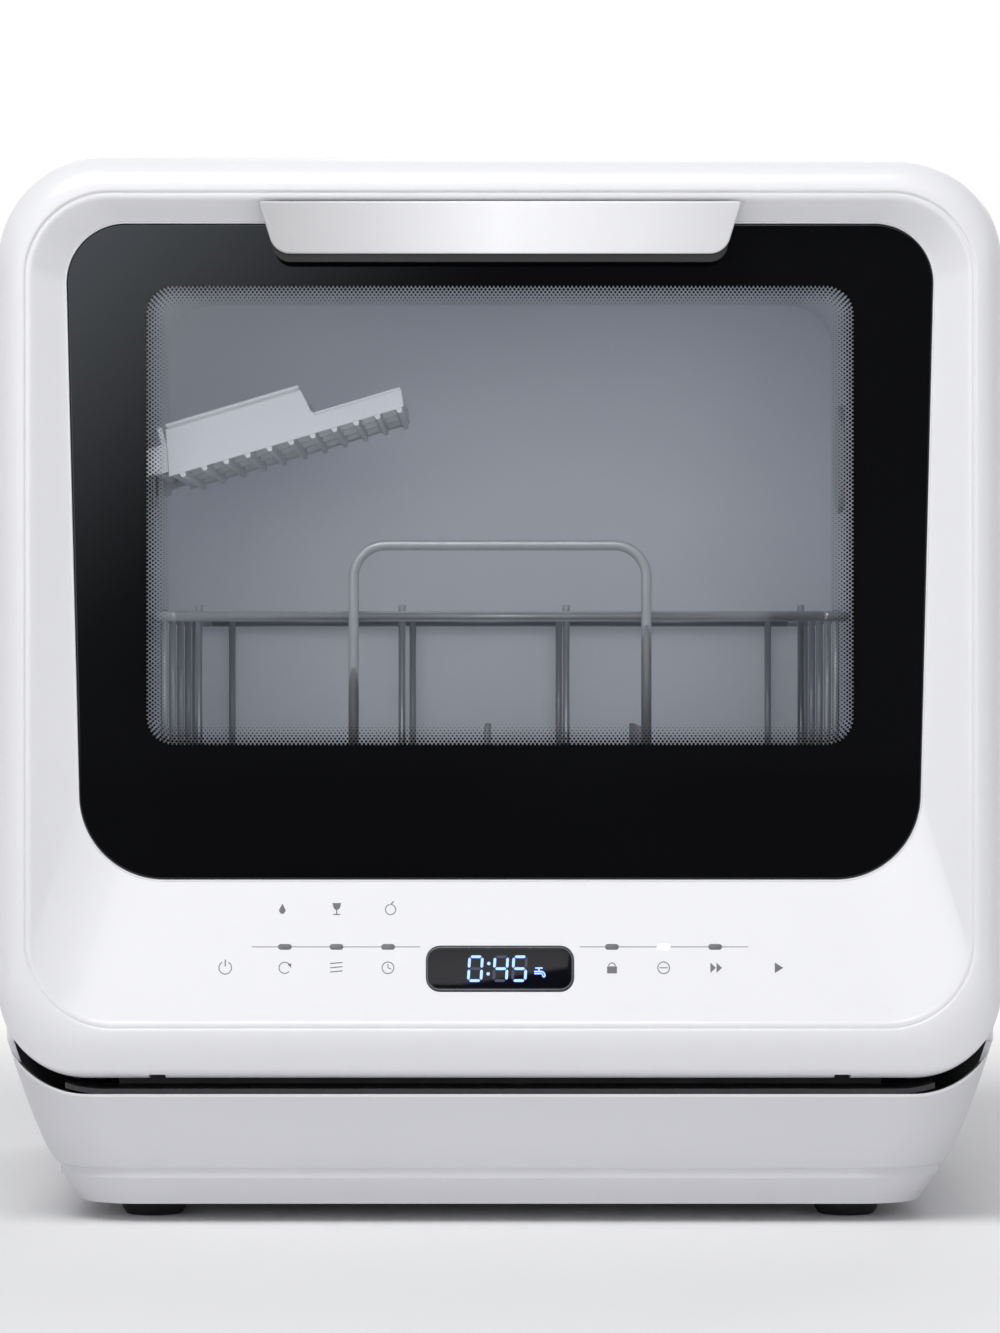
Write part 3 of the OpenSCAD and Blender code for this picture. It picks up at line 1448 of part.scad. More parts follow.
outer_casing();
rear_panel();
rear_screws();
base_skirt();
gap_strip();
base_tray();
feet();
front_frame();
door_gasket();
tub();
tub_rails();
rack_holder();
vent_grille();
sump();
spray_riser();
filter_plate();
wash_pump();
hoses();
pump_mounts();
flow_heater();
drain_pump();
drain_spigot();
inlet_valve();
cord_gland();
water_tank();
fill_funnel();
fan_housing();
latch_block();
hinge_brackets();
power_board();
float_post();
door_rim();
door_fascia();
indicator_lamps();
display_lens();
control_board();
door_glass();
glass_mask();
window_spacer();
inner_pane();
door_liner();
door_screws();
dispenser_body();
hinge_arms();
door_strike();
handle();
dispenser_lid();
basket_floor();
basket_front_wall();
basket_back_wall();
basket_side_walls();
plate_tines();
basket_glides();
cutlery_rack();
spray_arm();
filter_cup();
fill_lid();
overflow_float();
fan_rotor();
latch_plunger();
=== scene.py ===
import math
import bmesh
import bpy
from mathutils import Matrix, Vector


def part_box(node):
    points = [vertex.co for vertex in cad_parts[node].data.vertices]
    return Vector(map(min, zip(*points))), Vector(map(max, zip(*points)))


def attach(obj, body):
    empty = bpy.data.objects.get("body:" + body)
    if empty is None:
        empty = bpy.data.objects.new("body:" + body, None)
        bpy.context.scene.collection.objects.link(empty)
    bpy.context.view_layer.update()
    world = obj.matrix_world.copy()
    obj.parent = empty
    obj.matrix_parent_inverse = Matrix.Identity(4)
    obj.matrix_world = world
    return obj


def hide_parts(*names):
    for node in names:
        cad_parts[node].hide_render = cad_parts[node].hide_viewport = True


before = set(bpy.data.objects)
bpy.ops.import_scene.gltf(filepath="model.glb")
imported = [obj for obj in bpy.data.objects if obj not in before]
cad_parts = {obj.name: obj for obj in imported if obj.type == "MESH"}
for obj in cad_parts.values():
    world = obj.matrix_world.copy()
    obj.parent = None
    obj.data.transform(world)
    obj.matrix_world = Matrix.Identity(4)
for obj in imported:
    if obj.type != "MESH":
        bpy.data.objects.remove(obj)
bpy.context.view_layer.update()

bl_info = {
    "name": "Countertop dishwasher",
    "version": (1, 0, 0),
    "blender": (4, 5, 0),
    "location": "View3D > Sidebar > Dishwasher",
    "description": "Dresses the packed frame of a countertop dishwasher",
    "category": "Object",
}

MM = 0.001


def node_box(name):
    """The two corners of a CAD node, in millimetres."""
    low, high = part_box(name)
    return low / MM, high / MM


RIM_LOW, RIM_HIGH = node_box("door_rim")
GLASS_LOW, GLASS_HIGH = node_box("door_glass")
CASING_LOW, CASING_HIGH = node_box("outer_casing")
SKIRT_LOW, SKIRT_HIGH = node_box("base_skirt")
HANDLE_LOW, HANDLE_HIGH = node_box("handle")
RACK_LOW = node_box("cutlery_rack")[0]

# All lengths from here on are in millimetres.
# The door: its outline, its wall, and how far its rounded rim reaches inwards
BODY_W = RIM_HIGH.x - RIM_LOW.x
DOOR_TOP, DOOR_BOTTOM = RIM_HIGH.z, RIM_LOW.z
WALL = 2.5
CORNER_R, CORNER_LOW_R = 45.0, 38.0
RIM_SIDE, RIM_TOP, RIM_FOOT = 13.0, 16.1, 22.3
Y_CROWN = RIM_LOW.y
# The hinge: its axis, the roll round it, the back of the door, and the arms at both sides
Y_AXIS, Z_AXIS, ROLL_R = -195.0, 84.0, 20.4
Y_DOOR = -180.0
ARM_X, NOTCH_HALF, NOTCH_REACH = 146.5, 3.5, 8.5
# The fascia: its outline, and the ridge just inside it
Y_FASCIA = node_box("door_fascia")[0].y
FASCIA_HALF, FASCIA_TOP, FASCIA_BOTTOM = 201.9, 441.8, 86.0
FASCIA_R, FASCIA_LOW_R = 36.0, 37.5
RIDGE, RIDGE_DROP = 3.2, 0.55
# The glass, the gap round it, and its clear window
Y_GLASS, Y_GLASS_BACK = GLASS_LOW.y, GLASS_HIGH.y
GLASS_TOP, GLASS_BOTTOM = GLASS_HIGH.z, GLASS_LOW.z
GLASS_HALF_TOP, GLASS_HALF_BOTTOM = GLASS_HIGH.x, 179.5
GLASS_R_TOP, GLASS_R_BOTTOM = 25.0, 36.0
GLASS_GAP = 0.3
WINDOW_HALF, WINDOW_BOTTOM, WINDOW_TOP, WINDOW_R = 151.4, 206.4, 403.0, 12.0
# Steps in a quarter turn of the door's outlines
FINE = 24


# ---- The panel's sizes and colours ----


def colour_choice(name, description, default):
    return bpy.props.FloatVectorProperty(
        name=name, description=description, default=default, subtype="COLOR", size=3, min=0, max=1)


def length_choice(name, description, default):
    """A length with its default in millimetres, from half to double of it."""
    return bpy.props.FloatProperty(
        name=name, description=description, default=default * MM, min=default * MM / 2, max=default * MM * 2,
        subtype="DISTANCE", unit="LENGTH", precision=5)


class DishwasherColours(bpy.types.PropertyGroup):
    """Colours of the main surfaces"""

    shell: colour_choice("Shell", "Colour of the casing and the door rim", (0.83, 0.83, 0.855))
    fascia: colour_choice("Fascia", "Colour of the dish round the glass", (0.84, 0.84, 0.865))
    base: colour_choice("Base", "Colour of the skirt and the tray", (0.66, 0.66, 0.69))
    tub: colour_choice("Tub", "Colour of the tub", (0.8, 0.82, 0.88))
    rack: colour_choice("Rack", "Colour of the cutlery rack", (0.6, 0.605, 0.64))
    wire: colour_choice("Wire", "Colour of the basket's wires", (0.3, 0.305, 0.33))
    handle: colour_choice("Handle", "Colour of the handle's plate", (0.86, 0.86, 0.885))


class DishwasherSizes(bpy.types.PropertyGroup):
    """Sizes of the details that the frame leaves free"""

    handle_plate: length_choice("Handle plate", "Thickness of the handle's plate", 2.2)
    # The strip on the skirt's edge is a painted highlight
    bead: length_choice("Bead", "Height of the bright bead on the edge of the skirt", 1.3)
    dot_pitch: length_choice("Dot pitch", "Distance between the dots of the window's print", 1.76)
    dot_radius: length_choice("Dot radius", "Radius of a dot before its row's scale", 0.5)
    slat_pitch: length_choice("Slat pitch", "Distance between the slats of the cutlery rack", 10.0)


def chosen_colour(name):
    """A colour from the panel; rounded, because the panel keeps single precision."""
    return tuple(round(c, 4) for c in getattr(bpy.context.scene.dishwasher_colours, name))


def chosen_size(name):
    """A size from the panel, in millimetres."""
    return round(getattr(bpy.context.scene.dishwasher_sizes, name) / MM, 3)


# ---- Mesh work ----


def linked(name, mesh):
    """A new object in the scene."""
    obj = bpy.data.objects.new(name, mesh)
    bpy.context.scene.collection.objects.link(obj)
    return obj


def shade(mesh, smooth=True):
    mesh.polygons.foreach_set("use_smooth", [smooth] * len(mesh.polygons))


def put(name, verts, faces, smooth=True):
    """A mesh object from points in millimetres."""
    mesh = bpy.data.meshes.new(name)
    mesh.from_pydata([(x * MM, y * MM, z * MM) for x, y, z in verts], [], faces)
    mesh.validate()
    shade(mesh, smooth)
    return linked(name, mesh)


def outwards(obj, merge=1e-6):
    """Merges doubles and turns the faces outwards."""
    bm = bmesh.new()
    bm.from_mesh(obj.data)
    bmesh.ops.remove_doubles(bm, verts=bm.verts, dist=merge)
    bmesh.ops.recalc_face_normals(bm, faces=bm.faces)
    bm.to_mesh(obj.data)
    bm.free()
    return obj


def baked(obj):
    """Turns the modifiers of an object into a plain mesh."""
    bpy.context.view_layer.update()
    graph = bpy.context.evaluated_depsgraph_get()
    mesh = bpy.data.meshes.new_from_object(obj.evaluated_get(graph))
    old = obj.data
    obj.modifiers.clear()
    obj.data = mesh
    bpy.data.meshes.remove(old)
    mesh.name = obj.name
    return obj


def joined(name, parts):
    """One object out of several, in their order."""
    bm = bmesh.new()
    for part in parts:
        bm.from_mesh(part.data)
        bpy.data.objects.remove(part)
    mesh = bpy.data.meshes.new(name)
    bm.to_mesh(mesh)
    bm.free()
    return linked(name, mesh)


def arc(x, z, r, start, end, steps):
    """Points on an arc between two angles in radians, both ends included."""
    angles = [start + (end - start) * i / steps for i in range(steps + 1)]
    return [(x + r * math.cos(t), z + r * math.sin(t)) for t in angles]


def circle(x, z, r, steps):
    return arc(x, z, r, 0, 2 * math.pi, steps)[:-1]


def loop(half_top, half_bottom, top, bottom, r_top, r_bottom, steps=14):
    """Points (x, z) round an upright outline with rounded corners, anticlockwise seen from the front."""
    dx = (half_top - r_top) - (half_bottom - r_bottom)
    dz = (top - r_top) - (bottom + r_bottom)
    lean = math.atan2(dz, dx) - math.acos((r_bottom - r_top) / math.hypot(dx, dz))
    corners = [
        (half_top - r_top, top - r_top, r_top, lean, math.pi / 2),
        (-(half_top - r_top), top - r_top, r_top, math.pi / 2, math.pi - lean),
        (-(half_bottom - r_bottom), bottom + r_bottom, r_bottom, math.pi - lean, math.pi * 1.5),
        (half_bottom - r_bottom, bottom + r_bottom, r_bottom, math.pi * 1.5, 2 * math.pi + lean),
    ]
    return [point for corner in corners for point in arc(*corner, steps)]


def loft(name, rings, capped=False):
    """A skin over rings of equal length, with a cap at both ends or closed from its last ring to its first."""
    n = len(rings[0])
    verts = [p for ring in rings for p in ring]
    faces = []
    for k in range(len(rings) - 1 if capped else len(rings)):
        a, b = k * n, ((k + 1) % len(rings)) * n
        for i in range(n):
            j = (i + 1) % n
            faces.append((a + i, a + j, b + j, b + i))
    if capped:
        faces.append(tuple(range(n))[::-1])
        faces.append(tuple(range((len(rings) - 1) * n, len(rings) * n)))
    return outwards(put(name, verts, faces))


def upright(points, y):
    """Points (x, z) at one depth."""
    return [(x, y, z) for x, z in points]


def prism(name, outline, y0, y1):
    """An upright outline drawn out from one depth to another."""
    return loft(name, [upright(outline, y) for y in (y0, y1)], capped=True)


def slab(name, outline, y0, y1, edge):
    """An upright plate with rounded edges, through an outline given as a function of its inset."""
    turns = [(1 - math.sin(a), 1 - math.cos(a)) for a in [math.pi / 2 * i / 3 for i in range(4)]]
    rings = [upright(outline(edge * far), y0 + edge * near) for far, near in turns]
    rings += [upright(outline(edge * near), y1 - edge * far) for far, near in turns]
    # A ring on each flat side keeps the rounding's shading off it
    flat = outline(edge + 0.4)
    return loft(name, [upright(flat, y0), *rings, upright(flat, y1)], capped=True)


def cut(obj, cutters, operation="DIFFERENCE"):
    """Takes closed shapes out of a closed piece, or keeps what lies within them."""
    for cutter in cutters:
        m = obj.modifiers.new("cut", "BOOLEAN")
        m.operation, m.solver, m.object = operation, "EXACT", cutter
    baked(obj)
    for cutter in cutters:
        bpy.data.objects.remove(cutter)
    return obj


def sharpen(obj, angle):
    """Smooth shading with a crease wherever faces meet at more than an angle in degrees."""
    shade(obj.data)
    obj.data.set_sharp_from_angle(angle=math.radians(angle))
    return obj


def bevel(obj, width, segments, angle):
    """Rounds the edges that are sharper than an angle in degrees."""
    m = obj.modifiers.new("edges", "BEVEL")
    m.width, m.segments, m.limit_method, m.angle_limit = width * MM, segments, "ANGLE", math.radians(angle)
    m.harden_normals = True
    shade(obj.data)


# ---- Node trees ----


class Wiring:
    """Short hands for a node tree."""

    def __init__(self, tree):
        self.tree = tree

    def add(self, kind, feeds=None, **values):
        """A new node with its settings and its inputs."""
        n = self.tree.nodes.new(kind)
        for key, value in values.items():
            setattr(n, key, value)
        for key, value in (feeds or {}).items():
            self.feed(n.inputs[key], value)
        return n

    def feed(self, socket, value):
        """Gives an input a fixed value or the output of a node."""
        if isinstance(value, (int, float, str, tuple)):
            socket.default_value = value
        else:
            self.tree.links.new(value, socket)

    def math(self, operation, a, b):
        return self.add("ShaderNodeMath", {0: a, 1: b}, operation=operation).outputs["Value"]

    def ramp(self, value, low, high, at_low, at_high, kind="SMOOTHSTEP"):
        """Maps a value from one range to another."""
        return self.add("ShaderNodeMapRange", {
            "Value": value, "From Min": low, "From Max": high, "To Min": at_low, "To Max": at_high,
        }, interpolation_type=kind).outputs["Result"]

    def axes(self, vector):
        return self.add("ShaderNodeSeparateXYZ", {"Vector": vector}).outputs

    def blend(self, share, a, b):
        return self.add("ShaderNodeMixShader", {"Fac": share, 1: a, 2: b}).outputs["Shader"]

    def seen(self):
        """1 for the rays that show the background: from the camera, off gloss and through glass."""
        path = self.add("ShaderNodeLightPath").outputs
        both = self.math("MAXIMUM", path["Is Camera Ray"], path["Is Glossy Ray"])
        return self.math("MAXIMUM", both, path["Is Transmission Ray"])


class Repeater(Wiring):
    """A Geometry Nodes tree that sets a shape on points, realizes it and gives it a finish."""

    def __init__(self, name, inputs):
        """Takes the type and the value of each named input."""
        super().__init__(bpy.data.node_groups.new(name, "GeometryNodeTree"))
        self.values = {}
        self.socket("Geometry", "INPUT", "Geometry")
        for label, (kind, value) in inputs.items():
            self.values[self.socket(label, "INPUT", kind)] = value
        self.socket("Geometry", "OUTPUT", "Geometry")
        self.start = self.add("NodeGroupInput").outputs

    def socket(self, label, side, kind):
        made = self.tree.interface.new_socket(label, in_out=side, socket_type="NodeSocket" + kind)
        return made.identifier

    def run(self, obj, points):
        """Ends the tree behind the instances and leaves their plain mesh in the object."""
        spread = self.add("GeometryNodeInstanceOnPoints", points)
        real = self.add("GeometryNodeRealizeInstances", {"Geometry": spread.outputs["Instances"]})
        dress = self.add("GeometryNodeSetMaterial", {
            "Geometry": real.outputs["Geometry"], "Material": self.start["Finish"],
        })
        self.add("NodeGroupOutput", {"Geometry": dress.outputs["Geometry"]})
        m = obj.modifiers.new("repeat", "NODES")
        m.node_group = self.tree
        for identifier, value in self.values.items():
            m[identifier] = value
        return baked(obj)


# ---- Finishes ----


class Finish(Wiring):
    """A material with one shader, whose colour, gloss and relief may vary a little."""

    def __init__(self, name, colour, rough, metallic=0.0, coat=0.0, coat_rough=0.05, specular=0.5):
        self.mat = bpy.data.materials.new(name)
        self.mat.use_nodes = True
        super().__init__(self.mat.node_tree)
        self.shader = self.tree.nodes["Principled BSDF"]
        self.colour = colour
        self.coords = None
        for key, value in {
            "Base Color": (*colour, 1), "Roughness": rough, "Metallic": metallic, "Coat Weight": coat,
            "Coat Roughness": coat_rough, "IOR": 1.5, "Specular IOR Level": specular,
        }.items():
            self.shader.inputs[key].default_value = value

    def place(self, scale):
        """Object coordinates, stretched."""
        if self.coords is None:
            self.coords = self.add("ShaderNodeTexCoord").outputs["Object"]
        return self.add("ShaderNodeMapping", {"Vector": self.coords, "Scale": scale}).outputs["Vector"]

    def noise(self, scale, detail=3.0, stretch=(1, 1, 1)):
        return self.add("ShaderNodeTexNoise", {
            "Vector": self.place(stretch), "Scale": scale, "Detail": detail, "Roughness": 0.5,
        }).outputs["Fac"]

    def tint(self, share, stops):
        """Colours the surface by a value from 0 to 1; each stop is its place and its brightness."""
        ramp = self.add("ShaderNodeValToRGB", {"Fac": share})
        for i, (at, level) in enumerate(stops):
            stop = ramp.color_ramp.elements[i] if i < 2 else ramp.color_ramp.elements.new(at)
            stop.position = at
            stop.color = (*(min(1, c * level) for c in self.colour), 1)
        self.feed(self.shader.inputs["Base Color"], ramp.outputs["Color"])

    def mottle(self, scale, amount):
        """The colour drifts a little lighter and darker."""
        self.tint(self.noise(scale), [(0.3, 1 - amount), (0.7, 1 + amount)])

    def span(self, half, stops):
        """Paints a sheen into the colour: it shades from left to right, over a half width in metres."""
        across = self.axes(self.place((0.5 / half, 1, 1)))["X"]
        self.tint(self.math("ADD", across, 0.5), stops)

    def sheen_drift(self, scale, low, high, stretch=(1, 1, 1)):
        """The roughness drifts between two values."""
        value = self.noise(scale, stretch=stretch)
        self.feed(self.shader.inputs["Roughness"], self.ramp(value, 0.3, 0.7, low, high, "LINEAR"))

    def grain(self, scale, strength, distance):
        """A fine relief, with its depth in metres."""
        height = self.noise(scale, detail=2.0)
        bump = self.add("ShaderNodeBump", {"Strength": strength, "Distance": distance, "Height": height})
        self.feed(self.shader.inputs["Normal"], bump.outputs["Normal"])


WHITE, BLACK = (1.0, 1.0, 1.0), (0.003, 0.003, 0.0035)
# For each finish: its colour or the panel's name for it, its roughness, and what mottle, sheen_drift, grain
# and the shader itself are given
FINISHES = {
    "white_shell": ("shell", 0.3, (5, 0.006), (25, 0.28, 0.33), (), {"coat": 0.25, "coat_rough": 0.12}),
    "white_fascia": ("fascia", 0.22, (4, 0.005), (20, 0.2, 0.25), (), {"coat": 0.5, "coat_rough": 0.06}),
    "shade_shell": ("base", 0.4, (5, 0.008), (30, 0.37, 0.44), (2300, 0.03, 0.0002),
                    {"coat": 0.15, "coat_rough": 0.2}),
    "rear_sheet": ((0.70, 0.70, 0.72), 0.45, (12, 0.02), (300, 0.4, 0.52), (1500, 0.12, 0.0002), {}),
    "black_plastic": ((0.022, 0.022, 0.024), 0.42, (20, 0.2), (90, 0.36, 0.5), (1800, 0.12, 0.0002), {}),
    "black_gloss": (BLACK, 0.5, (4, 0.15), (), (), {"specular": 0.02}),
    "black_glass": (BLACK, 0.04, (4, 0.2), (8, 0.03, 0.06), (), {}),
    "tub_plastic": ("tub", 0.3, (5, 0.03), (40, 0.28, 0.4), (900, 0.06, 0.0003), {"coat": 0.3, "coat_rough": 0.12}),
    "grey_plastic": ((0.6, 0.6, 0.63), 0.34, (18, 0.03), (80, 0.32, 0.44), (1400, 0.08, 0.0002), {}),
    "rack_plastic": ("rack", 0.34, (12, 0.015), (60, 0.3, 0.38), (1400, 0.04, 0.0002), {}),
    "rubber": ((0.02, 0.02, 0.022), 0.75, (30, 0.25), (100, 0.68, 0.85), (1100, 0.3, 0.0003), {"specular": 0.3}),
    "steel": ((0.62, 0.63, 0.65), 0.3, (25, 0.05), (220, 0.24, 0.38, (1, 12, 12)), (), {"metallic": 1.0}),
    "wire": ("wire", 0.32, (60, 0.06), (200, 0.28, 0.42), (1500, 0.1, 0.0002),
             {"metallic": 0.3, "coat": 0.5, "coat_rough": 0.1}),
    "handle_metal": ("handle", 0.28, (), (9, 0.25, 0.29), (), {"metallic": 0.12, "coat": 0.3, "coat_rough": 0.12}),
    "lens": ((0.004, 0.004, 0.008), 0.1, (20, 0.2), (30, 0.06, 0.11), (),
             {"specular": 0.2, "coat": 0.1, "coat_rough": 0.03}),
    "lens_rim": ((0.07, 0.075, 0.09), 0.25, (40, 0.1), (90, 0.2, 0.3), (), {"metallic": 0.4}),
    "lamp": ((0.16, 0.165, 0.17), 0.3, (40, 0.08), (80, 0.25, 0.35), (), {}),
    "board": ((0.03, 0.14, 0.07), 0.35, (150, 0.15), (80, 0.3, 0.42), (), {"coat": 0.3}),
    "tank": ((0.72, 0.76, 0.78), 0.3, (8, 0.03), (40, 0.26, 0.36), (), {}),
    "print": ((0.17, 0.17, 0.18), 0.5, (120, 0.1), (200, 0.45, 0.55), (), {}),
    "digit_light": ((0.25, 0.4, 1.0), 0.4, (200, 0.04), (), (), {}),
    "lamp_light": (WHITE, 0.4, (200, 0.04), (), (), {}),
    "digit_dim": ((0.03, 0.035, 0.09), 0.3, (200, 0.05), (), (), {}),
}
FINISH = {}


def make_finishes():
    """Fills the table of materials by name."""
    made = {}
    for name, (colour, rough, mottle, drift, grain, more) in FINISHES.items():
        colour = chosen_colour(colour) if isinstance(colour, str) else colour
        made[name] = f = Finish(name, colour, rough, **more)
        for work, values in ((f.mottle, mottle), (f.sheen_drift, drift), (f.grain, grain)):
            if values:
                work(*values)
    # The handle's painted sheen: darkest at the left end, lightest in the middle, darker again at the right
    made["handle_metal"].span(0.11, [(0.0, 0.5), (0.25, 0.76), (0.5, 1.08), (0.78, 0.95), (1.0, 0.76)])
    made["black_glass"].shader.inputs["Specular Tint"].default_value = (0.84, 0.91, 1.0, 1)
    for name, strength in (("digit_light", 1.3), ("lamp_light", 1.2)):
        inputs = made[name].shader.inputs
        inputs["Emission Color"].default_value = (*made[name].colour, 1)
        inputs["Emission Strength"].default_value = strength
    made["clear_glass"] = clear_finish()
    FINISH.update((name, finish.mat) for name, finish in made.items())


def clear_finish():
    """Thin glass: clear straight through, with a mirror only on faces that meet the ray from outside."""
    g = Finish("clear_glass", (0.9, 0.95, 0.95), 0.02)
    g.tree.nodes.remove(g.shader)
    clear = g.add("ShaderNodeBsdfTransparent", {"Color": (0.985, 0.99, 0.99, 1)})
    gloss = g.add("ShaderNodeBsdfGlossy", {"Roughness": 0.03})
    fresnel = g.add("ShaderNodeFresnel", {"IOR": 1.5})
    front = g.math("SUBTRACT", 1.0, g.add("ShaderNodeNewGeometry").outputs["Backfacing"])
    share = g.math("MULTIPLY", fresnel.outputs["Fac"], front)
    surface = g.blend(share, clear.outputs["BSDF"], gloss.outputs["BSDF"])
    g.feed(g.tree.nodes["Material Output"].inputs["Surface"], surface)
    return g


def fit(obj, body, finish, replaces=()):
    """Paints a piece, lets it ride on its body, and hides the solids it stands for."""
    if finish:
        obj.data.materials.clear()
        obj.data.materials.append(FINISH[finish])
    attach(obj, body)
    if replaces:
        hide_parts(*replaces)


# ---- The door's rim and fascia ----


def rim_ring(y, side, top, bottom, r_top, r_bottom):
    half = BODY_W / 2 - side
    return upright(loop(half, half, DOOR_TOP - top, DOOR_BOTTOM + bottom, r_top, r_bottom, FINE), y)


def rim_point(angle, wall):
    """A ring of the door's pillow shape: angle 90 is the crown in front, 0 the widest, below 0 the back."""
    roll = ROLL_R - wall
    a = math.radians(angle)
    turn = 1 - math.cos(a)
    y = Y_AXIS - roll * math.sin(a)
    top_r, low_r = CORNER_R - wall, CORNER_LOW_R - wall
    if angle >= 0:
        return rim_ring(
            y,
            wall + (RIM_SIDE - wall) * turn,
            wall + (RIM_TOP - wall) * turn,
            wall + (RIM_FOOT - wall) * turn,
            top_r + (FASCIA_R - top_r) * turn,
            low_r + (FASCIA_LOW_R - low_r) * turn,
        )
    return rim_ring(y, wall, wall, wall + roll * turn, top_r, low_r)


# Where the rim rolls over into the parting line: depth behind the crown, and inset
RIM_EDGE = [
    (0.0, -1.0), (0.06, -0.5), (0.2, -0.12), (0.42, 0.05), (0.8, 0.1), (0.84, 0.55), (2.6, 0.55), (2.6, -0.4),
]


def build_door_rim():
    """The pillow-shaped rim with its inner side, and a notch for each hinge arm."""
    outside = (-47.3, -40, -30, -20, -10, 0, 8, 16, 24, 32, 40, 48, 56, 63, 70, 76, 80)
    rings = [rim_point(angle, 0.0) for angle in outside]
    for depth, into in RIM_EDGE:
        rings.append(rim_ring(
            Y_CROWN + depth, RIM_SIDE + into, RIM_TOP + into, RIM_FOOT + into, FASCIA_R - into, FASCIA_LOW_R - into))
    rings += [rim_point(angle, WALL) for angle in (80, 60, 40, 20, 0, -20, -47)]
    rim = loft("door_rim_shell", rings)
    notches = []
    for x in (-ARM_X, ARM_X):
        left, right, low, high = x - NOTCH_HALF, x + NOTCH_HALF, DOOR_BOTTOM - 5, Z_AXIS + NOTCH_REACH
        outline = [(left, low), (right, low), (right, high), (left, high)]
        notches.append(prism("notch", outline, Y_AXIS - NOTCH_REACH, Y_DOOR + 5))
    cut(rim, notches)
    sharpen(rim, 50)
    fit(rim, "door", "white_shell", ["door_rim"])


def edge_ring(y, margin):
    half, r, low_r = FASCIA_HALF - margin, FASCIA_R - margin, FASCIA_LOW_R - margin
    return upright(loop(half, half, FASCIA_TOP - margin, FASCIA_BOTTOM + margin, r, low_r, FINE), y)


def dish_ring(y, share, grow=0.0):
    """A ring between the foot of the fascia's ridge, share 0, and the glass's outline, share 1."""
    edge, gap = RIDGE - grow, GLASS_GAP + grow
    ends = [
        (FASCIA_HALF - edge, GLASS_HALF_TOP + gap),
        (FASCIA_HALF - edge, GLASS_HALF_BOTTOM + gap),
        (FASCIA_TOP - edge, GLASS_TOP + gap),
        (FASCIA_BOTTOM + edge, GLASS_BOTTOM - gap),
        (FASCIA_R - edge, GLASS_R_TOP + gap),
        (FASCIA_LOW_R - edge, GLASS_R_BOTTOM + gap),
    ]
    return upright(loop(*(a + (b - a) * share for a, b in ends), FINE), y)


# The ridge: depth behind its top, and margin. The lip at the glass: depth behind the glass, and growth
RIDGE_SHAPE = [
    (2.9, 0.25), (0.8, 0.25), (0.4, 0.32), (0.18, 0.55), (0.05, 0.9), (0.0, 1.35), (0.02, 2.0), (0.14, 2.5),
    (0.32, 2.85),
]
LIP_SHAPE = [(-0.4, 0.6), (-0.5, 0.4), (-0.42, 0.15), (-0.2, 0.02), (0.25, -0.05)]
# The console is the part of the dish under the glass: its foot, its tilt, and the heights of what is on it
CONSOLE_BOTTOM, CONSOLE_Y = FASCIA_BOTTOM + RIDGE, Y_FASCIA + RIDGE_DROP
CONSOLE_TOP, CONSOLE_TOP_Y = GLASS_BOTTOM - 1.05, Y_GLASS - 0.1
TILT = math.atan((CONSOLE_TOP_Y - CONSOLE_Y) / (CONSOLE_TOP - CONSOLE_BOTTOM))
DISPLAY_Z, LAMP_Z, SIGN_Z = 111.3, 120.5, 111.7
LAMPS_X = [s * (47.7 + i * 22.0) for s in (-1, 1) for i in range(3)]
LIT_LAMP = 4
# Width, height and corner radius of the holes and of what fills them
DISPLAY_HOLE, LAMP_HOLE = (63.2, 19.5, 6.0), (5.8, 2.4, 1.15)
DISPLAY_RIM, DISPLAY_PANE, LAMP_PILL = (62.8, 19.1, 5.9), (60.8, 17.1, 4.9), (5.6, 2.2, 1.08)


def build_fascia():
    """The dish between the rim and the glass, with a rounded ridge outside and a fine lip at the glass."""
    rings = [edge_ring(Y_FASCIA + y, margin) for y, margin in RIDGE_SHAPE]
    for t in [i / 12 for i in range(13)]:
        rings.append(dish_ring(CONSOLE_Y + (CONSOLE_TOP_Y - CONSOLE_Y) * t, t, 0.75 * t))
    rings += [dish_ring(Y_GLASS + y, 1, grow) for y, grow in LIP_SHAPE]
    # The rear side
    rings += [dish_ring(Y_GLASS_BACK, 1), dish_ring(Y_GLASS_BACK, 1, 2.2), dish_ring(Y_GLASS + 2.2, 1, 2.2)]
    rings.append(dish_ring(Y_FASCIA + 4.1, 0.12, 1.0))
    dish = loft("door_fascia_dish", rings)
    holes = []
    for x, z, (w, h, r) in [(0, DISPLAY_Z, DISPLAY_HOLE)] + [(x, LAMP_Z, LAMP_HOLE) for x in LAMPS_X]:
        outline = loop(w / 2, w / 2, h / 2, -h / 2, r, r, 6)
        ends = [[console_point(x + px, z + pz, proud) for px, pz in outline] for proud in (-6, 8)]
        holes.append(loft("hole", ends, capped=True))
    cut(dish, holes)
    sharpen(dish, 40)
    fit(dish, "door", "white_fascia", ["door_fascia"])


# ---- The console ----


def console_point(x, z, proud):
    """A point on the sloping console at a height above the floor, standing proud of its surface."""
    y = CONSOLE_Y + (z - CONSOLE_BOTTOM) * math.tan(TILT)
    return (x, y - proud * math.cos(TILT), z + proud * math.sin(TILT))


def console_rings(x, z, size, profile, steps):
    """Rounded outlines on the console, one for each inset and height of a profile."""
    w, h, r = size
    rings = []
    for inset, proud in profile:
        half, rise, corner = w / 2 - inset, h / 2 - inset, r - inset
        points = loop(half, half, rise, -rise, corner, corner, steps)
        rings.append([console_point(x + px, z + pz * math.cos(TILT), proud) for px, pz in points])
    return rings


def console_pill(name, x, z, size, high, edge, steps):
    """A rounded plate let into the console, with a soft edge."""
    profile = [(0, -2.2), (0, high - edge), (edge * 0.3, high - edge * 0.3), (edge, high)]
    return loft(name, console_rings(x, z, size, profile, steps), capped=True)


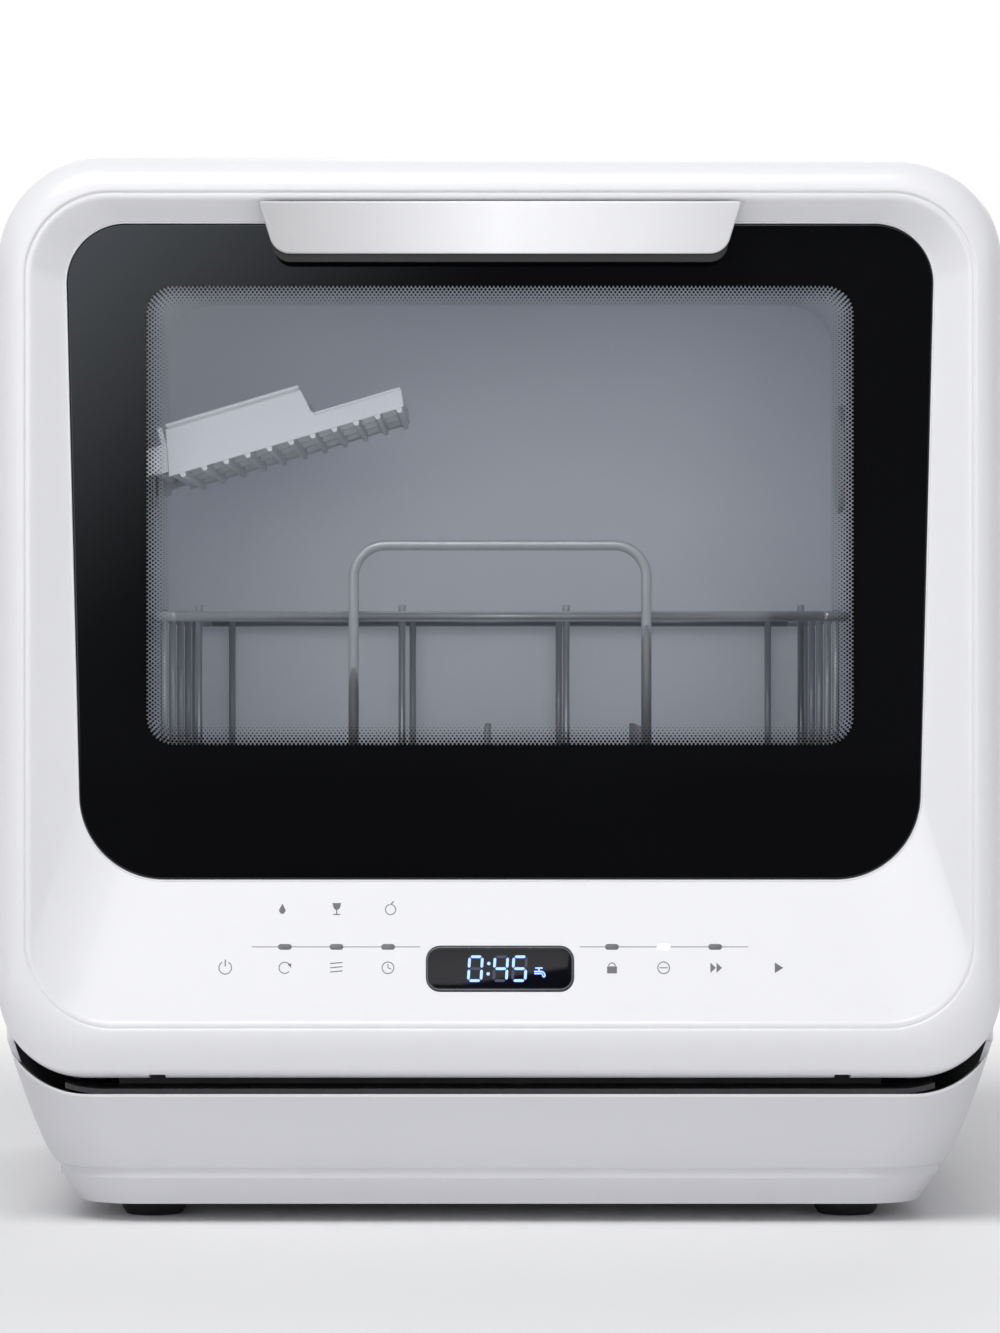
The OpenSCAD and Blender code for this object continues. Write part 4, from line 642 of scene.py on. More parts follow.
def bar(x0, z0, x1, z1, w, tip):
    """A six-sided stroke between two points, as a flat outline."""
    dx, dz = x1 - x0, z1 - z0
    length = math.hypot(dx, dz)
    ux, uz = dx / length, dz / length
    nx, nz = -uz * w / 2, ux * w / 2
    return [
        (x0, z0), (x0 + ux * tip + nx, z0 + uz * tip + nz), (x1 - ux * tip + nx, z1 - uz * tip + nz),
        (x1, z1), (x1 - ux * tip - nx, z1 - uz * tip - nz), (x0 + ux * tip - nx, z0 + uz * tip - nz),
    ]


def console_print(name, outlines, z0, proud, finish, height=0.1):
    """Flat outlines on the console, as thin raised shapes; their heights count from z0."""
    verts, faces = [], []
    for outline in outlines:
        n, base = len(outline), len(verts)
        for lift in (proud - height, proud):
            verts += [console_point(x, z0 + z * math.cos(TILT), lift) for x, z in outline]
        faces.append(tuple(base + n + i for i in range(n)))
        faces.append(tuple(base + i for i in reversed(range(n))))
        faces += [(base + i, base + (i + 1) % n, base + n + (i + 1) % n, base + n + i) for i in range(n)]
    fit(outwards(put(name, verts, faces, smooth=False), 1e-9), "door", finish)


# The ends of a figure's seven strokes, from 0 to 1 across and up, and its width, height and lean
STROKES = {
    "a": (0, 1, 1, 1), "b": (1, 1, 1, 0.5), "c": (1, 0.5, 1, 0), "d": (0, 0, 1, 0), "e": (0, 0.5, 0, 0),
    "f": (0, 1, 0, 0.5), "g": (0, 0.5, 1, 0.5),
}
DIGIT_W, DIGIT_H, DIGIT_LEAN = 5.4, 10.2, 0.06
# The lit strokes and the place of each figure: 0, 4 and 5
DIGITS = [("abcdef", -13.2), ("fgbc", -2.4), ("afgcd", 5.6)]
# A tap: its handle, its stem, its body with the bent spout, all as strokes round its middle
TAP = [
    (-2.6, 3.0, 2.6, 3.0), (0, 3.0, 0, 0.6), (-3.4, 0.6, 2.4, 0.6), (-3.4, -0.8, 2.0, -0.8), (2.4, 0.6, 4.0, -1.0),
    (4.0, -1.0, 4.0, -3.0), (2.0, -0.8, 2.6, -1.6), (2.6, -1.6, 2.6, -3.0), (2.6, -3.0, 4.0, -3.0),
]
TAP_X, TAP_Z, TAP_SCALE = 16.6, -1.6, 0.62


def build_display():
    """The rim and the pane of the display, three figures with a colon, and a tap."""
    profile = [(0.0, -2.0), (0.0, 0.25), (0.25, 0.5), (0.75, 0.5), (1.0, 0.3), (1.1, -2.0)]
    rim = sharpen(loft("display_rim", console_rings(0, DISPLAY_Z, DISPLAY_RIM, profile, 10)), 50)
    fit(rim, "door", "lens_rim")
    pane = sharpen(console_pill("display_window", 0, DISPLAY_Z, DISPLAY_PANE, 0.3, 0.2, 8), 50)
    fit(pane, "door", "lens", ["display_lens"])
    lit, dim = [], []
    gap = 0.35
    for shown, x0 in DIGITS:
        for key, (ax, az, bx, bz) in STROKES.items():
            ax, az, bx, bz = ax * DIGIT_W, (az - 0.5) * DIGIT_H, bx * DIGIT_W, (bz - 0.5) * DIGIT_H
            length = math.hypot(bx - ax, bz - az)
            ux, uz = (bx - ax) / length, (bz - az) / length
            stroke = bar(ax + ux * gap, az + uz * gap, bx - ux * gap, bz - uz * gap, 1.15, 0.55)
            stroke = [(x0 + x + z * DIGIT_LEAN, z) for x, z in stroke]
            (lit if key in shown else dim).append(stroke)
    lit += [circle(-4.9 + z * DIGIT_LEAN, z, 0.75, 8) for z in (-2.2, 2.2)]
    console_print("display_figures", lit, DISPLAY_Z, 0.36, "digit_light", 0.12)
    console_print("display_figures_unlit", dim, DISPLAY_Z, 0.33, "digit_dim", 0.12)
    tap = []
    for stroke in TAP:
        ends = [at + v * TAP_SCALE for at, v in zip((TAP_X, TAP_Z, TAP_X, TAP_Z), stroke)]
        tap.append(bar(*ends, 0.62, 0.15))
    console_print("display_tap", tap, DISPLAY_Z, 0.36, "digit_light", 0.12)


def ring_sign(x, z, r, start, end):
    """A ring or a part of one from short quads, between two angles in degrees."""
    width, n = 0.42, 20
    inner, outer = r - width / 2, r + width / 2
    quads = []
    for i in range(n):
        a, b = (math.radians(start + (end - start) * k / n) for k in (i, i + 1))
        corners = ((inner, a), (outer, a), (outer, b), (inner, b))
        quads.append([(x + q * math.cos(t), z + q * math.sin(t)) for q, t in corners])
    return quads


def arrow_head(x, z, turn):
    a = math.radians(turn)
    return [[(x + 1.1 * math.cos(a + t), z + 1.1 * math.sin(a + t)) for t in (0, 2.3, 4.0)]]


def console_signs():
    """The signs of the touch keys from left to right, and those of three programmes above the left lamps."""
    return [
        # An open ring with a stroke
        *ring_sign(-117, 0, 2.7, 120, 420), bar(-117, 0.6, -117, 3.6, 0.5, 0.1),
        # An open ring with an arrow head
        *ring_sign(-91.7, 0, 2.4, 20, 320), *arrow_head(-91.7 + 2.3, 1.0, -70),
        # Three bars
        *(bar(-72.4, z, -67.0, z + 0.5, 0.45, 0.1) for z in (-1.8, 0, 1.8)),
        # A ring with two hands
        *ring_sign(-47.7, 0, 2.5, 0, 360), bar(-47.7, 0, -47.7, 1.8, 0.42, 0.1), bar(-47.7, 0, -46.3, -0.6, 0.42, 0.1),
        # A block with half a ring
        [(45.6, -2.4), (49.8, -2.4), (49.8, 0.6), (45.6, 0.6)], *ring_sign(47.7, 0.7, 1.4, 0, 180),
        # A ring with a bar
        *ring_sign(69.7, 0, 2.5, 0, 360), bar(67.9, 0, 71.5, 0, 0.4, 0.1),
        # Two triangles, and one
        [(89.6, -2.2), (91.9, 0), (89.6, 2.2)], [(92.2, -2.2), (94.5, 0), (92.2, 2.2)],
        [(117.0, -2.3), (120.6, 0), (117.0, 2.3)],
        # A drop, a goblet and an apple
        [(-92.9, 27.6), (-94.4, 24.6), (-93.7, 23.4), (-92.9, 23.0), (-92.1, 23.4), (-91.4, 24.6)],
        [(-71.6, 27.8), (-71.0, 25.6), (-70.2, 24.9), (-69.2, 24.9), (-68.4, 25.6), (-67.8, 27.8)],
        bar(-69.7, 24.9, -69.7, 23.0, 0.5, 0.05), bar(-71.2, 22.9, -68.2, 22.9, 0.5, 0.05),
        *ring_sign(-46.7, 25.0, 2.2, 100, 440), bar(-46.7, 27.0, -45.4, 28.6, 0.5, 0.1),
    ]


def build_console_marks():
    """The thin lines, the lamps and the signs."""
    lines = []
    for s in (-1, 1):
        x0, x1 = s * 34.0, s * 105.8
        lines.append([(x0, -0.16), (x1, -0.16), (x1, 0.16), (x0, 0.16)][::s])
    console_print("console_lines", lines, LAMP_Z, 0.06, "print")
    for i, x in enumerate(LAMPS_X):
        pill = sharpen(console_pill("lamp_%d" % i, x, LAMP_Z, LAMP_PILL, 0.15, 0.15, 5), 50)
        finish = "lamp_light" if i == LIT_LAMP else "lamp"
        fit(pill, "door", finish, ["indicator_lamps"] if i == 0 else ())
    console_print("console_signs", console_signs(), SIGN_Z, 0.06, "print")


# ---- The glass ----


def glass_outline(inset):
    return loop(
        GLASS_HALF_TOP - inset, GLASS_HALF_BOTTOM - inset, GLASS_TOP - inset, GLASS_BOTTOM + inset,
        GLASS_R_TOP - inset, GLASS_R_BOTTOM - inset, FINE)


def build_glass():
    """One pane: clear in its window, and black where the print lies behind it."""
    window = loop(WINDOW_HALF, WINDOW_HALF, WINDOW_TOP, WINDOW_BOTTOM, WINDOW_R, WINDOW_R, FINE)
    front, back, edge = Y_GLASS, Y_GLASS_BACK - 0.05, 0.5
    rings = [upright(window, front), upright(glass_outline(0.7), front)]
    for a in [math.pi / 8 * i for i in range(5)]:
        rings.append(upright(glass_outline(edge * (1 - math.sin(a))), front + edge * (1 - math.cos(a))))
    rings += [upright(glass_outline(0), back - 0.4), upright(glass_outline(0.4), back), upright(window, back)]
    pane = sharpen(loft("door_glass_pane", rings, capped=True), 50)
    fit(pane, "door", "clear_glass", ["door_glass"])
    pane.data.materials.append(FINISH["black_glass"])
    # Only the two caps, which have a corner for each point of the window, stay clear
    for face in pane.data.polygons:
        face.material_index = int(len(face.vertices) < len(window))
    y0, y1 = Y_GLASS_BACK, Y_GLASS_BACK + 0.5
    outside = glass_outline(0.1)
    mask = loft("glass_print", [upright(outside, y0), upright(window, y0), upright(window, y1), upright(outside, y1)])
    fit(sharpen(mask, 30), "door", "black_gloss", ["glass_mask"])
    build_dots(y0 + 0.02)


DOT_ROWS, ROW_STEP, CORNER_PITCH = 8, 1.18, 1.85


def build_dots(y):
    """Staggered rows of dots along the print, which grow smaller towards the clear middle of the window."""
    points, sizes = [], []
    across, up = WINDOW_HALF - WINDOW_R, (WINDOW_TOP - WINDOW_BOTTOM) / 2 - WINDOW_R
    middle = (WINDOW_TOP + WINDOW_BOTTOM) / 2
    pitch = chosen_size("dot_pitch")
    for row in range(DOT_ROWS):
        r = WINDOW_R - 0.35 - row * ROW_STEP
        odd = row % 2
        spots = []
        for side in range(4):
            half, reach = (up, across) if side % 2 else (across, up)
            count = round(2 * half / pitch)
            for i in range(count + 1 - odd):
                spots.append((side, half - (i + odd / 2) * 2 * half / count, reach + r))
            turns = max(1, round(math.pi / 2 * r / CORNER_PITCH))
            for i in range(1 - odd, turns):
                a = math.pi / 2 * (i + odd / 2) / turns
                spots.append((side, -half - r * math.sin(a), reach + r * math.cos(a)))
        for side, along, out in spots:
            x, z = [(along, out), (-out, along), (-along, -out), (out, -along)][side]
            points.append((x, y, middle + z))
            sizes.append(1.32 - 0.155 * row)
    dots = put("glass_print_dots", points, [])
    dots.data.attributes.new("size", "FLOAT", "POINT").data.foreach_set("value", sizes)
    nodes = Repeater("print_dots", {
        "Dot radius": ("Float", chosen_size("dot_radius") * MM), "Finish": ("Material", FINISH["black_gloss"]),
    })
    disc = nodes.add(
        "GeometryNodeMeshCircle", {"Vertices": 8, "Radius": nodes.start["Dot radius"]}, fill_type="NGON")
    stand = nodes.add(
        "GeometryNodeTransform", {"Geometry": disc.outputs["Mesh"], "Rotation": (math.pi / 2, 0, 0)})
    size = nodes.add("GeometryNodeInputNamedAttribute", {"Name": "size"}, data_type="FLOAT")
    nodes.run(dots, {
        "Points": nodes.start["Geometry"], "Instance": stand.outputs["Geometry"], "Scale": size.outputs["Attribute"],
    })
    fit(dots, "door", None)


# ---- The handle ----


def build_handle():
    """The satin plate with rounded lower corners, and the dark grip behind it, which also reaches below the plate as
    painted shadow.
    """
    top, bottom, half, slant = HANDLE_HIGH.z - 3.2, HANDLE_LOW.z - 1.7, HANDLE_HIGH.x - 0.8, 4.2
    y0, y1 = HANDLE_LOW.y, HANDLE_LOW.y + chosen_size("handle_plate")

    def outline(inset, drop=0.0, trim=0.0):
        side = half - trim - inset
        return loop(side, half - slant - inset, top - inset, bottom - drop + inset, 1.0, max(9.0 - inset, 1))

    plate = sharpen(slab("handle_plate", outline, y0, y1, 0.5), 60)
    fit(plate, "door", "handle_metal", ["handle"])

    def slope_y(z):
        """The surface of the fascia above the glass, a little inside it."""
        share = (FASCIA_TOP - RIDGE - z) / (FASCIA_TOP - RIDGE - GLASS_TOP)
        return CONSOLE_Y + 0.3 + share * (Y_GLASS - CONSOLE_Y)

    # The grip's back plate reaches 4.6 mm below the plate: its black is the grip and also painted shadow under the
    # plate
    back = slab("handle_back_and_shadow", lambda inset: outline(1.2 + inset, 4.6, 2.0), y1 - 0.1, y1 + 1.0, 0.3)
    # The block fills only the top, so that fingers find room under it
    head, foot, side = top - 0.8, top - 6.2, half - 8.0
    section = [(y1, foot), (y1, head), (slope_y(head), head), (slope_y(foot), foot)]
    block = loft("handle_block", [[(x, y, z) for y, z in section] for x in (-side, side)], capped=True)
    fit(sharpen(joined("handle_grip", [back, block]), 50), "door", "black_plastic")


# ---- The cutlery rack ----

BAR_X, BAR_Z, RACK_TILT = -156.0, 330.0, math.radians(16.5)
# Along the tilt: the step in the side walls, and the end; then the depth and the thickness of its walls
RACK_STEP, RACK_END, RACK_DEPTH, RACK_WALL = 72.4, 116.9, 150.0, 2.5
# A side wall's outline: rise along the tilt, and height square to it
SIDE_WALL = [
    (7.2, -8.3), (RACK_END - 2, -8.3), (RACK_END - 0.9, -7.2), (RACK_END, -0.8), (RACK_END - 1, 0.4),
    (RACK_STEP + 5.4, 0.4), (RACK_STEP + 3.6, 1.6), (RACK_STEP + 1.6, 12.2), (11.7, 12.2),
]
FIRST_SLAT, SLATS = 12.0, 10
TOOTH = [(FIRST_SLAT - 0.4, -7.5), (FIRST_SLAT + 0.7, -10.2), (FIRST_SLAT + 2.4, -10.2), (FIRST_SLAT + 3.2, -7.5)]


def rack_point(u, y, w):
    """From the rack's own rise and height to the frame; y counts from the rack's front."""
    c, s = math.cos(RACK_TILT), math.sin(RACK_TILT)
    return (BAR_X + u * c - w * s, RACK_LOW.y + y, BAR_Z + u * s + w * c)


def rack_slab(outline, y0, y1, edge=0.35):
    """A wall of the rack through an outline of (u, w) points, with chamfered edges."""
    inner = []
    for i, (u, w) in enumerate(outline):
        here, before, after = Vector((u, w)), Vector(outline[i - 1]), Vector(outline[(i + 1) % len(outline)])
        a, b = (here - before).normalized(), (after - here).normalized()
        turn = 1 + a.dot(b)
        inner.append((u - (a.y + b.y) * edge / turn, w + (a.x + b.x) * edge / turn))
    levels = [(inner, y0), (outline, y0 + edge), (outline, y1 - edge), (inner, y1)]
    return loft("rack_wall", [[rack_point(u, y, w) for u, w in points] for points, y in levels], capped=True)


def rack_box(u0, u1, y0, y1, w0, w1, edge=0.3):
    return rack_slab([(u0, w0), (u1, w0), (u1, w1), (u0, w1)], y0, y1, edge)


def rib_row(rib, count, step):
    """Repeats a rib along a step."""
    nodes = Repeater("rib_row", {
        "Count": ("Int", count), "Step": ("Vector", step), "Finish": ("Material", FINISH["rack_plastic"]),
    })
    line = nodes.add(
        "GeometryNodeMeshLine", {"Count": nodes.start["Count"], "Offset": nodes.start["Step"]}, mode="OFFSET")
    return nodes.run(rib, {"Points": line.outputs["Mesh"], "Instance": nodes.start["Geometry"]})


def rack_hook(y):
    """An arm with a hook that is open downwards, over the bar, and a heel against the wall."""
    outer, inner = (arc(0, 0, r, math.radians(a), math.radians(b), 12) for r, a, b in
                    ((6.2, 106.5, 165.4), (3.4, 197.3, -17.3)))
    points = [(3.25, -5.32), (17.04, -1.21), (13.58, 10.49), *outer, (-6.0, -26.0), (-3.25, -26.0), *inner]
    rings = [[(BAR_X + x, RACK_LOW.y + y + t, BAR_Z + z) for x, z in points] for t in (0.0, 2.6)]
    return loft("rack_hook", rings, capped=True)


def build_rack():
    """The tilted rack: two stepped walls with a lip, a floor of slats with teeth, and its hooks."""
    inside, far = 1.5, RACK_DEPTH - 1.5
    parts = []
    for y in (0.0, RACK_DEPTH - RACK_WALL):
        parts.append(rack_slab(SIDE_WALL, y, y + RACK_WALL))
        parts.append(rack_box(12.4, RACK_STEP + 0.8, y + 0.9, y + 1.8, 11.8, 13.6, 0.1))
        parts.append(rack_box(12.2, RACK_STEP + 1.3, y - 0.3, y + 2.8, 12.9, 14.5, 0.4))
    parts += [
        # The lip on the lower front wall, the two end walls, and the bars under the slats
        rack_box(RACK_STEP + 4.6, RACK_END - 0.3, -0.7, 2.0, -0.4, 0.75, 0.2),
        rack_box(RACK_END - 3.4, RACK_END - 0.8, inside, far, -7.8, 0.2),
        rack_box(8.0, 10.4, inside, far, -7.8, 13.9),
        *(rack_box(8.5, RACK_END - 2, y, y + 8.0, -7.9, -5.2) for y in (inside, 48.5, 94.5, RACK_DEPTH - 9.5)),
    ]
    pitch = chosen_size("slat_pitch")
    along = (pitch * math.cos(RACK_TILT) * MM, 0.0, pitch * math.sin(RACK_TILT) * MM)
    slat = rack_box(FIRST_SLAT + pitch, FIRST_SLAT + pitch + 3.4, inside, far, -7.6, -5.5)
    tooth = rack_slab(TOOTH, 0.4, RACK_DEPTH - 0.4, 0.2)
    parts += [rib_row(slat, SLATS, along), rib_row(tooth, SLATS + 1, along)]
    parts += [rack_hook(y) for y in (0.7, RACK_DEPTH - 3.3)]
    rack = sharpen(joined("cutlery_rack_shell", parts), 35)
    fit(rack, "rack", "rack_plastic", ["cutlery_rack"])


# ---- The cabinet ----

# The sheet's rolled edges: depth from the edge, and inset
FRONT_EDGE = [(2.9, 12.0), (0.4, 12.0), (0.0, 11.6), (0.0, 1.2), (0.35, 0.35), (1.2, 0.0)]
REAR_EDGE = [(-1.2, 0.0), (-0.35, 0.35), (0.0, 1.2), (0.0, WALL), (-5, WALL)]
FILL_X, FILL_Y, FILL_R = 110, 161, 32
# Under this height the front flange lies behind the skirt's gap and is painted black, as shade
SHADE_PAINTED_BELOW = 105


def casing_loop(inset):
    """The outline of the sheet, open at its foot."""
    half, top = CASING_HIGH.x - inset, CASING_HIGH.z - inset
    r = CORNER_R - 1.5 - inset
    right = arc(half - r, top - r, r, 0, math.pi / 2, 16)
    left = arc(r - half, top - r, r, math.pi / 2, math.pi, 16)
    return [(half, CASING_LOW.z), *right, *left, (-half, CASING_LOW.z)]


def build_casing():
    """The wrapped sheet, with rolled front and rear edges."""
    y0, y1 = CASING_LOW.y, CASING_HIGH.y
    profile = [(y0 + y, inset) for y, inset in FRONT_EDGE] + [(y1 + y, inset) for y, inset in REAR_EDGE]
    rings = [upright(casing_loop(inset), y) for y, inset in [*profile, (y0 + 2.9, WALL)]]
    n = len(rings[0])
    faces = []
    for k in range(len(rings)):
        a, b = k * n, ((k + 1) % len(rings)) * n
        faces += [(a + i, a + i + 1, b + i + 1, b + i) for i in range(n - 1)]
    faces.append(tuple(k * n for k in range(len(rings))))
    faces.append(tuple(k * n + n - 1 for k in range(len(rings)))[::-1])
    casing = outwards(put("casing_shell", [p for ring in rings for p in ring], faces))
    port = circle(FILL_X, FILL_Y, FILL_R, 48)
    cut(casing, [loft("hole", [[(x, y, z) for x, y in port] for z in (440, 470)], capped=True)])
    sharpen(casing, 40)
    fit(casing, "cabinet", "white_shell", ["outer_casing"])
    # The flange's faces low behind the gap take the black finish: painted shade
    casing.data.materials.append(FINISH["black_plastic"])
    for face in casing.data.polygons:
        middle = face.center / MM
        face.material_index = int(middle.y < y0 + 0.9 and middle.z < SHADE_PAINTED_BELOW)


# The skirt's half width, front and back at its top edge, how far they draw in, and its corner radii
SKIRT_HALF, SKIRT_FRONT, SKIRT_BACK = 213.5, -207.0, 205.0
DRAW_SIDE, DRAW_END = 21.0, 16.0
SKIRT_FRONT_R, SKIRT_BACK_R = 36, 24
DOOR_GAP = 6.4


def skirt_ring(z, wall):
    """One level of the boat-shaped skirt."""
    s = min(1.0, max(0.0, (SKIRT_HIGH.z - z) / (SKIRT_HIGH.z - SKIRT_LOW.z)))
    drawn = 0.7 * s + 0.3 * (1 - math.sqrt(max(0.0, 1 - s * s)))
    half = SKIRT_HALF - DRAW_SIDE * drawn - wall
    front, back = SKIRT_FRONT + DRAW_END * drawn + wall, SKIRT_BACK - DRAW_END * drawn - wall
    near, far = SKIRT_FRONT_R - wall, SKIRT_BACK_R - wall
    corners = [
        (half - near, front + near, near, 1.5), (half - far, back - far, far, 0.0),
        (far - half, back - far, far, 0.5), (near - half, front + near, near, 1.0),
    ]
    points = []
    for x, y, r, turn in corners:
        points += arc(x, y, r, turn * math.pi, (turn + 0.5) * math.pi, 16)
    return [(x, y, z) for x, y in points]


def door_sweep(grow):
    """What the door's outline takes out of the skirt, grown by a gap."""
    half = BODY_W / 2 + grow
    outline = loop(half, half, DOOR_TOP + grow, DOOR_BOTTOM - grow, CORNER_R + grow, CORNER_LOW_R + grow, 32)
    return prism("sweep", outline, -300, -178)


def build_skirt():
    """The skirt with its hollow for the door, and on the edge of that hollow a strip of lighter finish as a painted
    highlight.
    """
    z0, z1 = SKIRT_LOW.z, SKIRT_HIGH.z
    rings = [skirt_ring(z1 - down, 0.0) for down in (0, 6, 14, 22, 30, 37, 43, 47, 50, 52)]
    rings += [skirt_ring(z0 + up, 0.0) for up in (1.0, 0.3, 0)]
    rings.append([(x * 0.985, y * 0.985, z) for x, y, z in skirt_ring(z0, 6.0)])
    rings += [skirt_ring(z, WALL) for z in (z0 + 3, z0 + 8, z0 + 16, z0 + 28, z0 + 40, z1)]
    below = DOOR_GAP + chosen_size("bead")
    skirt = sharpen(cut(loft("base_skirt_shell", rings), [door_sweep(below)]), 40)
    bevel(skirt, 0.25, 2, 40)
    fit(skirt, "cabinet", "shade_shell", ["base_skirt"])
    # A strip of the lighter fascia finish on the hollow's edge: a painted highlight
    bead = cut(loft("skirt_bead", rings), [door_sweep(below)], "INTERSECT")
    bead = sharpen(cut(bead, [door_sweep(DOOR_GAP)]), 40)
    bevel(bead, 0.3, 3, 40)
    fit(bead, "cabinet", "white_fascia")


# ---- The solids that stay ----

# For each finish, the solids that wear it and the width of their soft edges
DRESS = {
    "rear_sheet": {"rear_panel": 0.3},
    "white_shell": {
        "fill_funnel": 0.2, "dispenser_lid": 0.3, "fill_lid": 0.4, "overflow_float": 0.4, "latch_plunger": 0.4,
    },
    "shade_shell": {"base_tray": 0.4, "drain_pump": 0.4, "inlet_valve": 0.4},
    "tub_plastic": {"tub": 0.5},
    "tank": {"water_tank": 0.8},
    "grey_plastic": {
        "tub_rails": 0.4, "rack_holder": 0.3, "vent_grille": 0.3, "spray_riser": 0.4, "dispenser_body": 0.4,
        "basket_glides": 0.4, "spray_arm": 0.7, "filter_cup": 0.4, "fan_rotor": 0.3,
    },
    # The gap strip and the front frame, behind the gap under the door, are black: a dark finish of their own, and also
    # painted shade that keeps that gap dark
    "black_plastic": {
        "gap_strip": 0.2, "front_frame": 0.3, "sump": 0.4, "wash_pump": 0.4, "drain_spigot": 0.4, "cord_gland": 0.4,
        "fan_housing": 0.4, "latch_block": 0.4, "float_post": 0.3, "window_spacer": 0.3,
    },
    "rubber": {"feet": 0.6, "door_gasket": 0.4, "hoses": 0.2, "pump_mounts": 0.5},
    "steel": {
        "rear_screws": 0.2, "filter_plate": 0.1, "flow_heater": 0.2, "hinge_brackets": 0.3, "door_liner": 0.3,
        "door_screws": 0.2, "hinge_arms": 0.3, "door_strike": 0.3,
    },
    "wire": {
        "basket_floor": 0.0, "basket_front_wall": 0.0, "basket_back_wall": 0.0, "basket_side_walls": 0.0,
        "plate_tines": 0.3,
    },
    "board": {"power_board": 0.2, "control_board": 0.2},
    "clear_glass": {"inner_pane": 0.2},
}


def dress_nodes():
    """Gives the solids their finishes and soft edges; round wires are only shaded smooth."""
    for finish, widths in DRESS.items():
        for name, width in widths.items():
            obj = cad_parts[name]
            slots = obj.data.materials
            if slots:
                for i in range(len(slots)):
                    slots[i] = FINISH[finish]
            else:
                slots.append(FINISH[finish])
            obj.modifiers.new("weld", "WELD").merge_threshold = 2e-6
            if width:
                plane = obj.modifiers.new("planes", "DECIMATE")
                plane.decimate_type, plane.angle_limit = "DISSOLVE", math.radians(0.5)
                bevel(obj, width, 2, 35)
                level = obj.modifiers.new("level", "WEIGHTED_NORMAL")
                level.weight, level.keep_sharp = 90, True
            else:
                shade(obj.data)


# ---- The stage, in metres ----

AIM = (0, 0, 0.25)
FLOOR_REACH = 9000


def area(name, at, aim, size, size_y, power):
    data = bpy.data.lights.new(name, "AREA")
    data.shape = "RECTANGLE"
    data.size, data.size_y = size, size_y
    data.energy = power
    lamp = linked(name, data)
    lamp.location = at
    lamp.rotation_euler = (Vector(aim) - Vector(at)).to_track_quat("-Z", "Y").to_euler()
    return lamp


def build_world():
    """Even light on everything; what is seen is white behind the object and dark behind the camera."""
    world = bpy.data.worlds.new("studio")
    bpy.context.scene.world = world
    world.use_nodes = True
    w = Wiring(world.node_tree)
    light = world.node_tree.nodes["Background"]
    light.inputs["Color"].default_value = (0.965, 0.97, 1.0, 1)
    light.inputs["Strength"].default_value = 0.33
    x, y, z = w.axes(w.add("ShaderNodeNewGeometry").outputs["Incoming"])
    behind = w.ramp(y, 0.5, 0.95, 0.0, 1.0)
    glow = w.ramp(w.math("SUBTRACT", x, z), 0.085, 0.2, 0.06, 2.0)
    level = w.math("ADD", w.math("SUBTRACT", 1.0, behind), w.math("MULTIPLY", behind, glow))
    shown = w.add("ShaderNodeBackground", {"Color": (1, 1, 1, 1), "Strength": level})
    surface = w.blend(w.seen(), light.outputs["Background"], shown.outputs["Background"])
    w.feed(world.node_tree.nodes["World Output"].inputs["Surface"], surface)


def build_floor():
    """A pale floor that keeps the shadow near the object and turns into the white background farther out."""
    a = FLOOR_REACH
    floor = put("floor", [(-a, -a, 0), (a, -a, 0), (a, a, 0), (-a, a, 0)], [(0, 1, 2, 3)], smooth=False)
    w = Finish("floor", (0.93, 0.93, 0.935), 0.9, specular=0.1)
    spot = w.add("ShaderNodeTexCoord").outputs["Object"]
    distance = w.add("ShaderNodeVectorMath", {0: spot}, operation="LENGTH").outputs["Value"]
    away = w.ramp(distance, 0.42, 1.2, 0.0, 1.0)
    # Gloss sees the floor in front of the object nearly black, so that the glass stays dark
    ahead = w.ramp(w.axes(spot)["Y"], -1.6, -0.7, 1.0, 0.0)
    dim = w.math("MULTIPLY", ahead, w.add("ShaderNodeLightPath").outputs["Is Glossy Ray"])
    strength = w.math("SUBTRACT", 1.0, w.math("MULTIPLY", dim, 0.97))
    white = w.add("ShaderNodeEmission", {"Strength": strength}).outputs["Emission"]
    surface = w.blend(w.math("MULTIPLY", away, w.seen()), w.shader.outputs["BSDF"], white)
    w.feed(w.tree.nodes["Material Output"].inputs["Surface"], surface)
    floor.data.materials.append(w.mat)


def build_stage():
    """The floor, the world, the lamps, and a camera that sees what the photo's camera saw."""
    scene = bpy.context.scene
    scene.view_settings.view_transform = "Standard"
    build_floor()
    build_world()
    area("key_lamp", (-0.45, -1.35, 2.3), AIM, 1.6, 1.2, 34)
    area("front_lamp", (0, -2.6, 0.4), AIM, 1.2, 1.2, 13).visible_glossy = False
    area("rear_lamp", (0.6, 2.2, 1.8), AIM, 1.4, 1.4, 14)
    # A faint light in the tub, behind the door, seen by nothing but the surfaces it lights
    inside = area("tub_lamp", (-0.02, -0.168, 0.31), (-0.03, 0.3, 0.38), 0.28, 0.2, 0.16)
    inside.data.color = (0.92, 0.96, 1.0)
    inside.visible_camera = inside.visible_glossy = inside.visible_transmission = False
    camera = bpy.data.cameras.new("camera")
    camera.sensor_fit, camera.sensor_height, camera.lens = "VERTICAL", 36, 127.2
    rig = linked("camera", camera)
    rig.location = (0, Y_CROWN * MM - 2.0, 0.240)
    rig.rotation_euler = (math.pi / 2, 0, 0)
    scene.camera = rig


# ---- The add-on ----


class DISHWASHER_OT_finishes(bpy.types.Operator):
    """Makes the finishes, which every piece needs"""

    bl_idname = "dishwasher.finishes"
    bl_label = "Finishes"

    def execute(self, context):
        make_finishes()
        return {"FINISHED"}


class DISHWASHER_OT_stage(bpy.types.Operator):
    """Sets up the floor, the lamps and the camera"""

    bl_idname = "dishwasher.stage"
    bl_label = "Stage"

    def execute(self, context):
        build_stage()
        return {"FINISHED"}


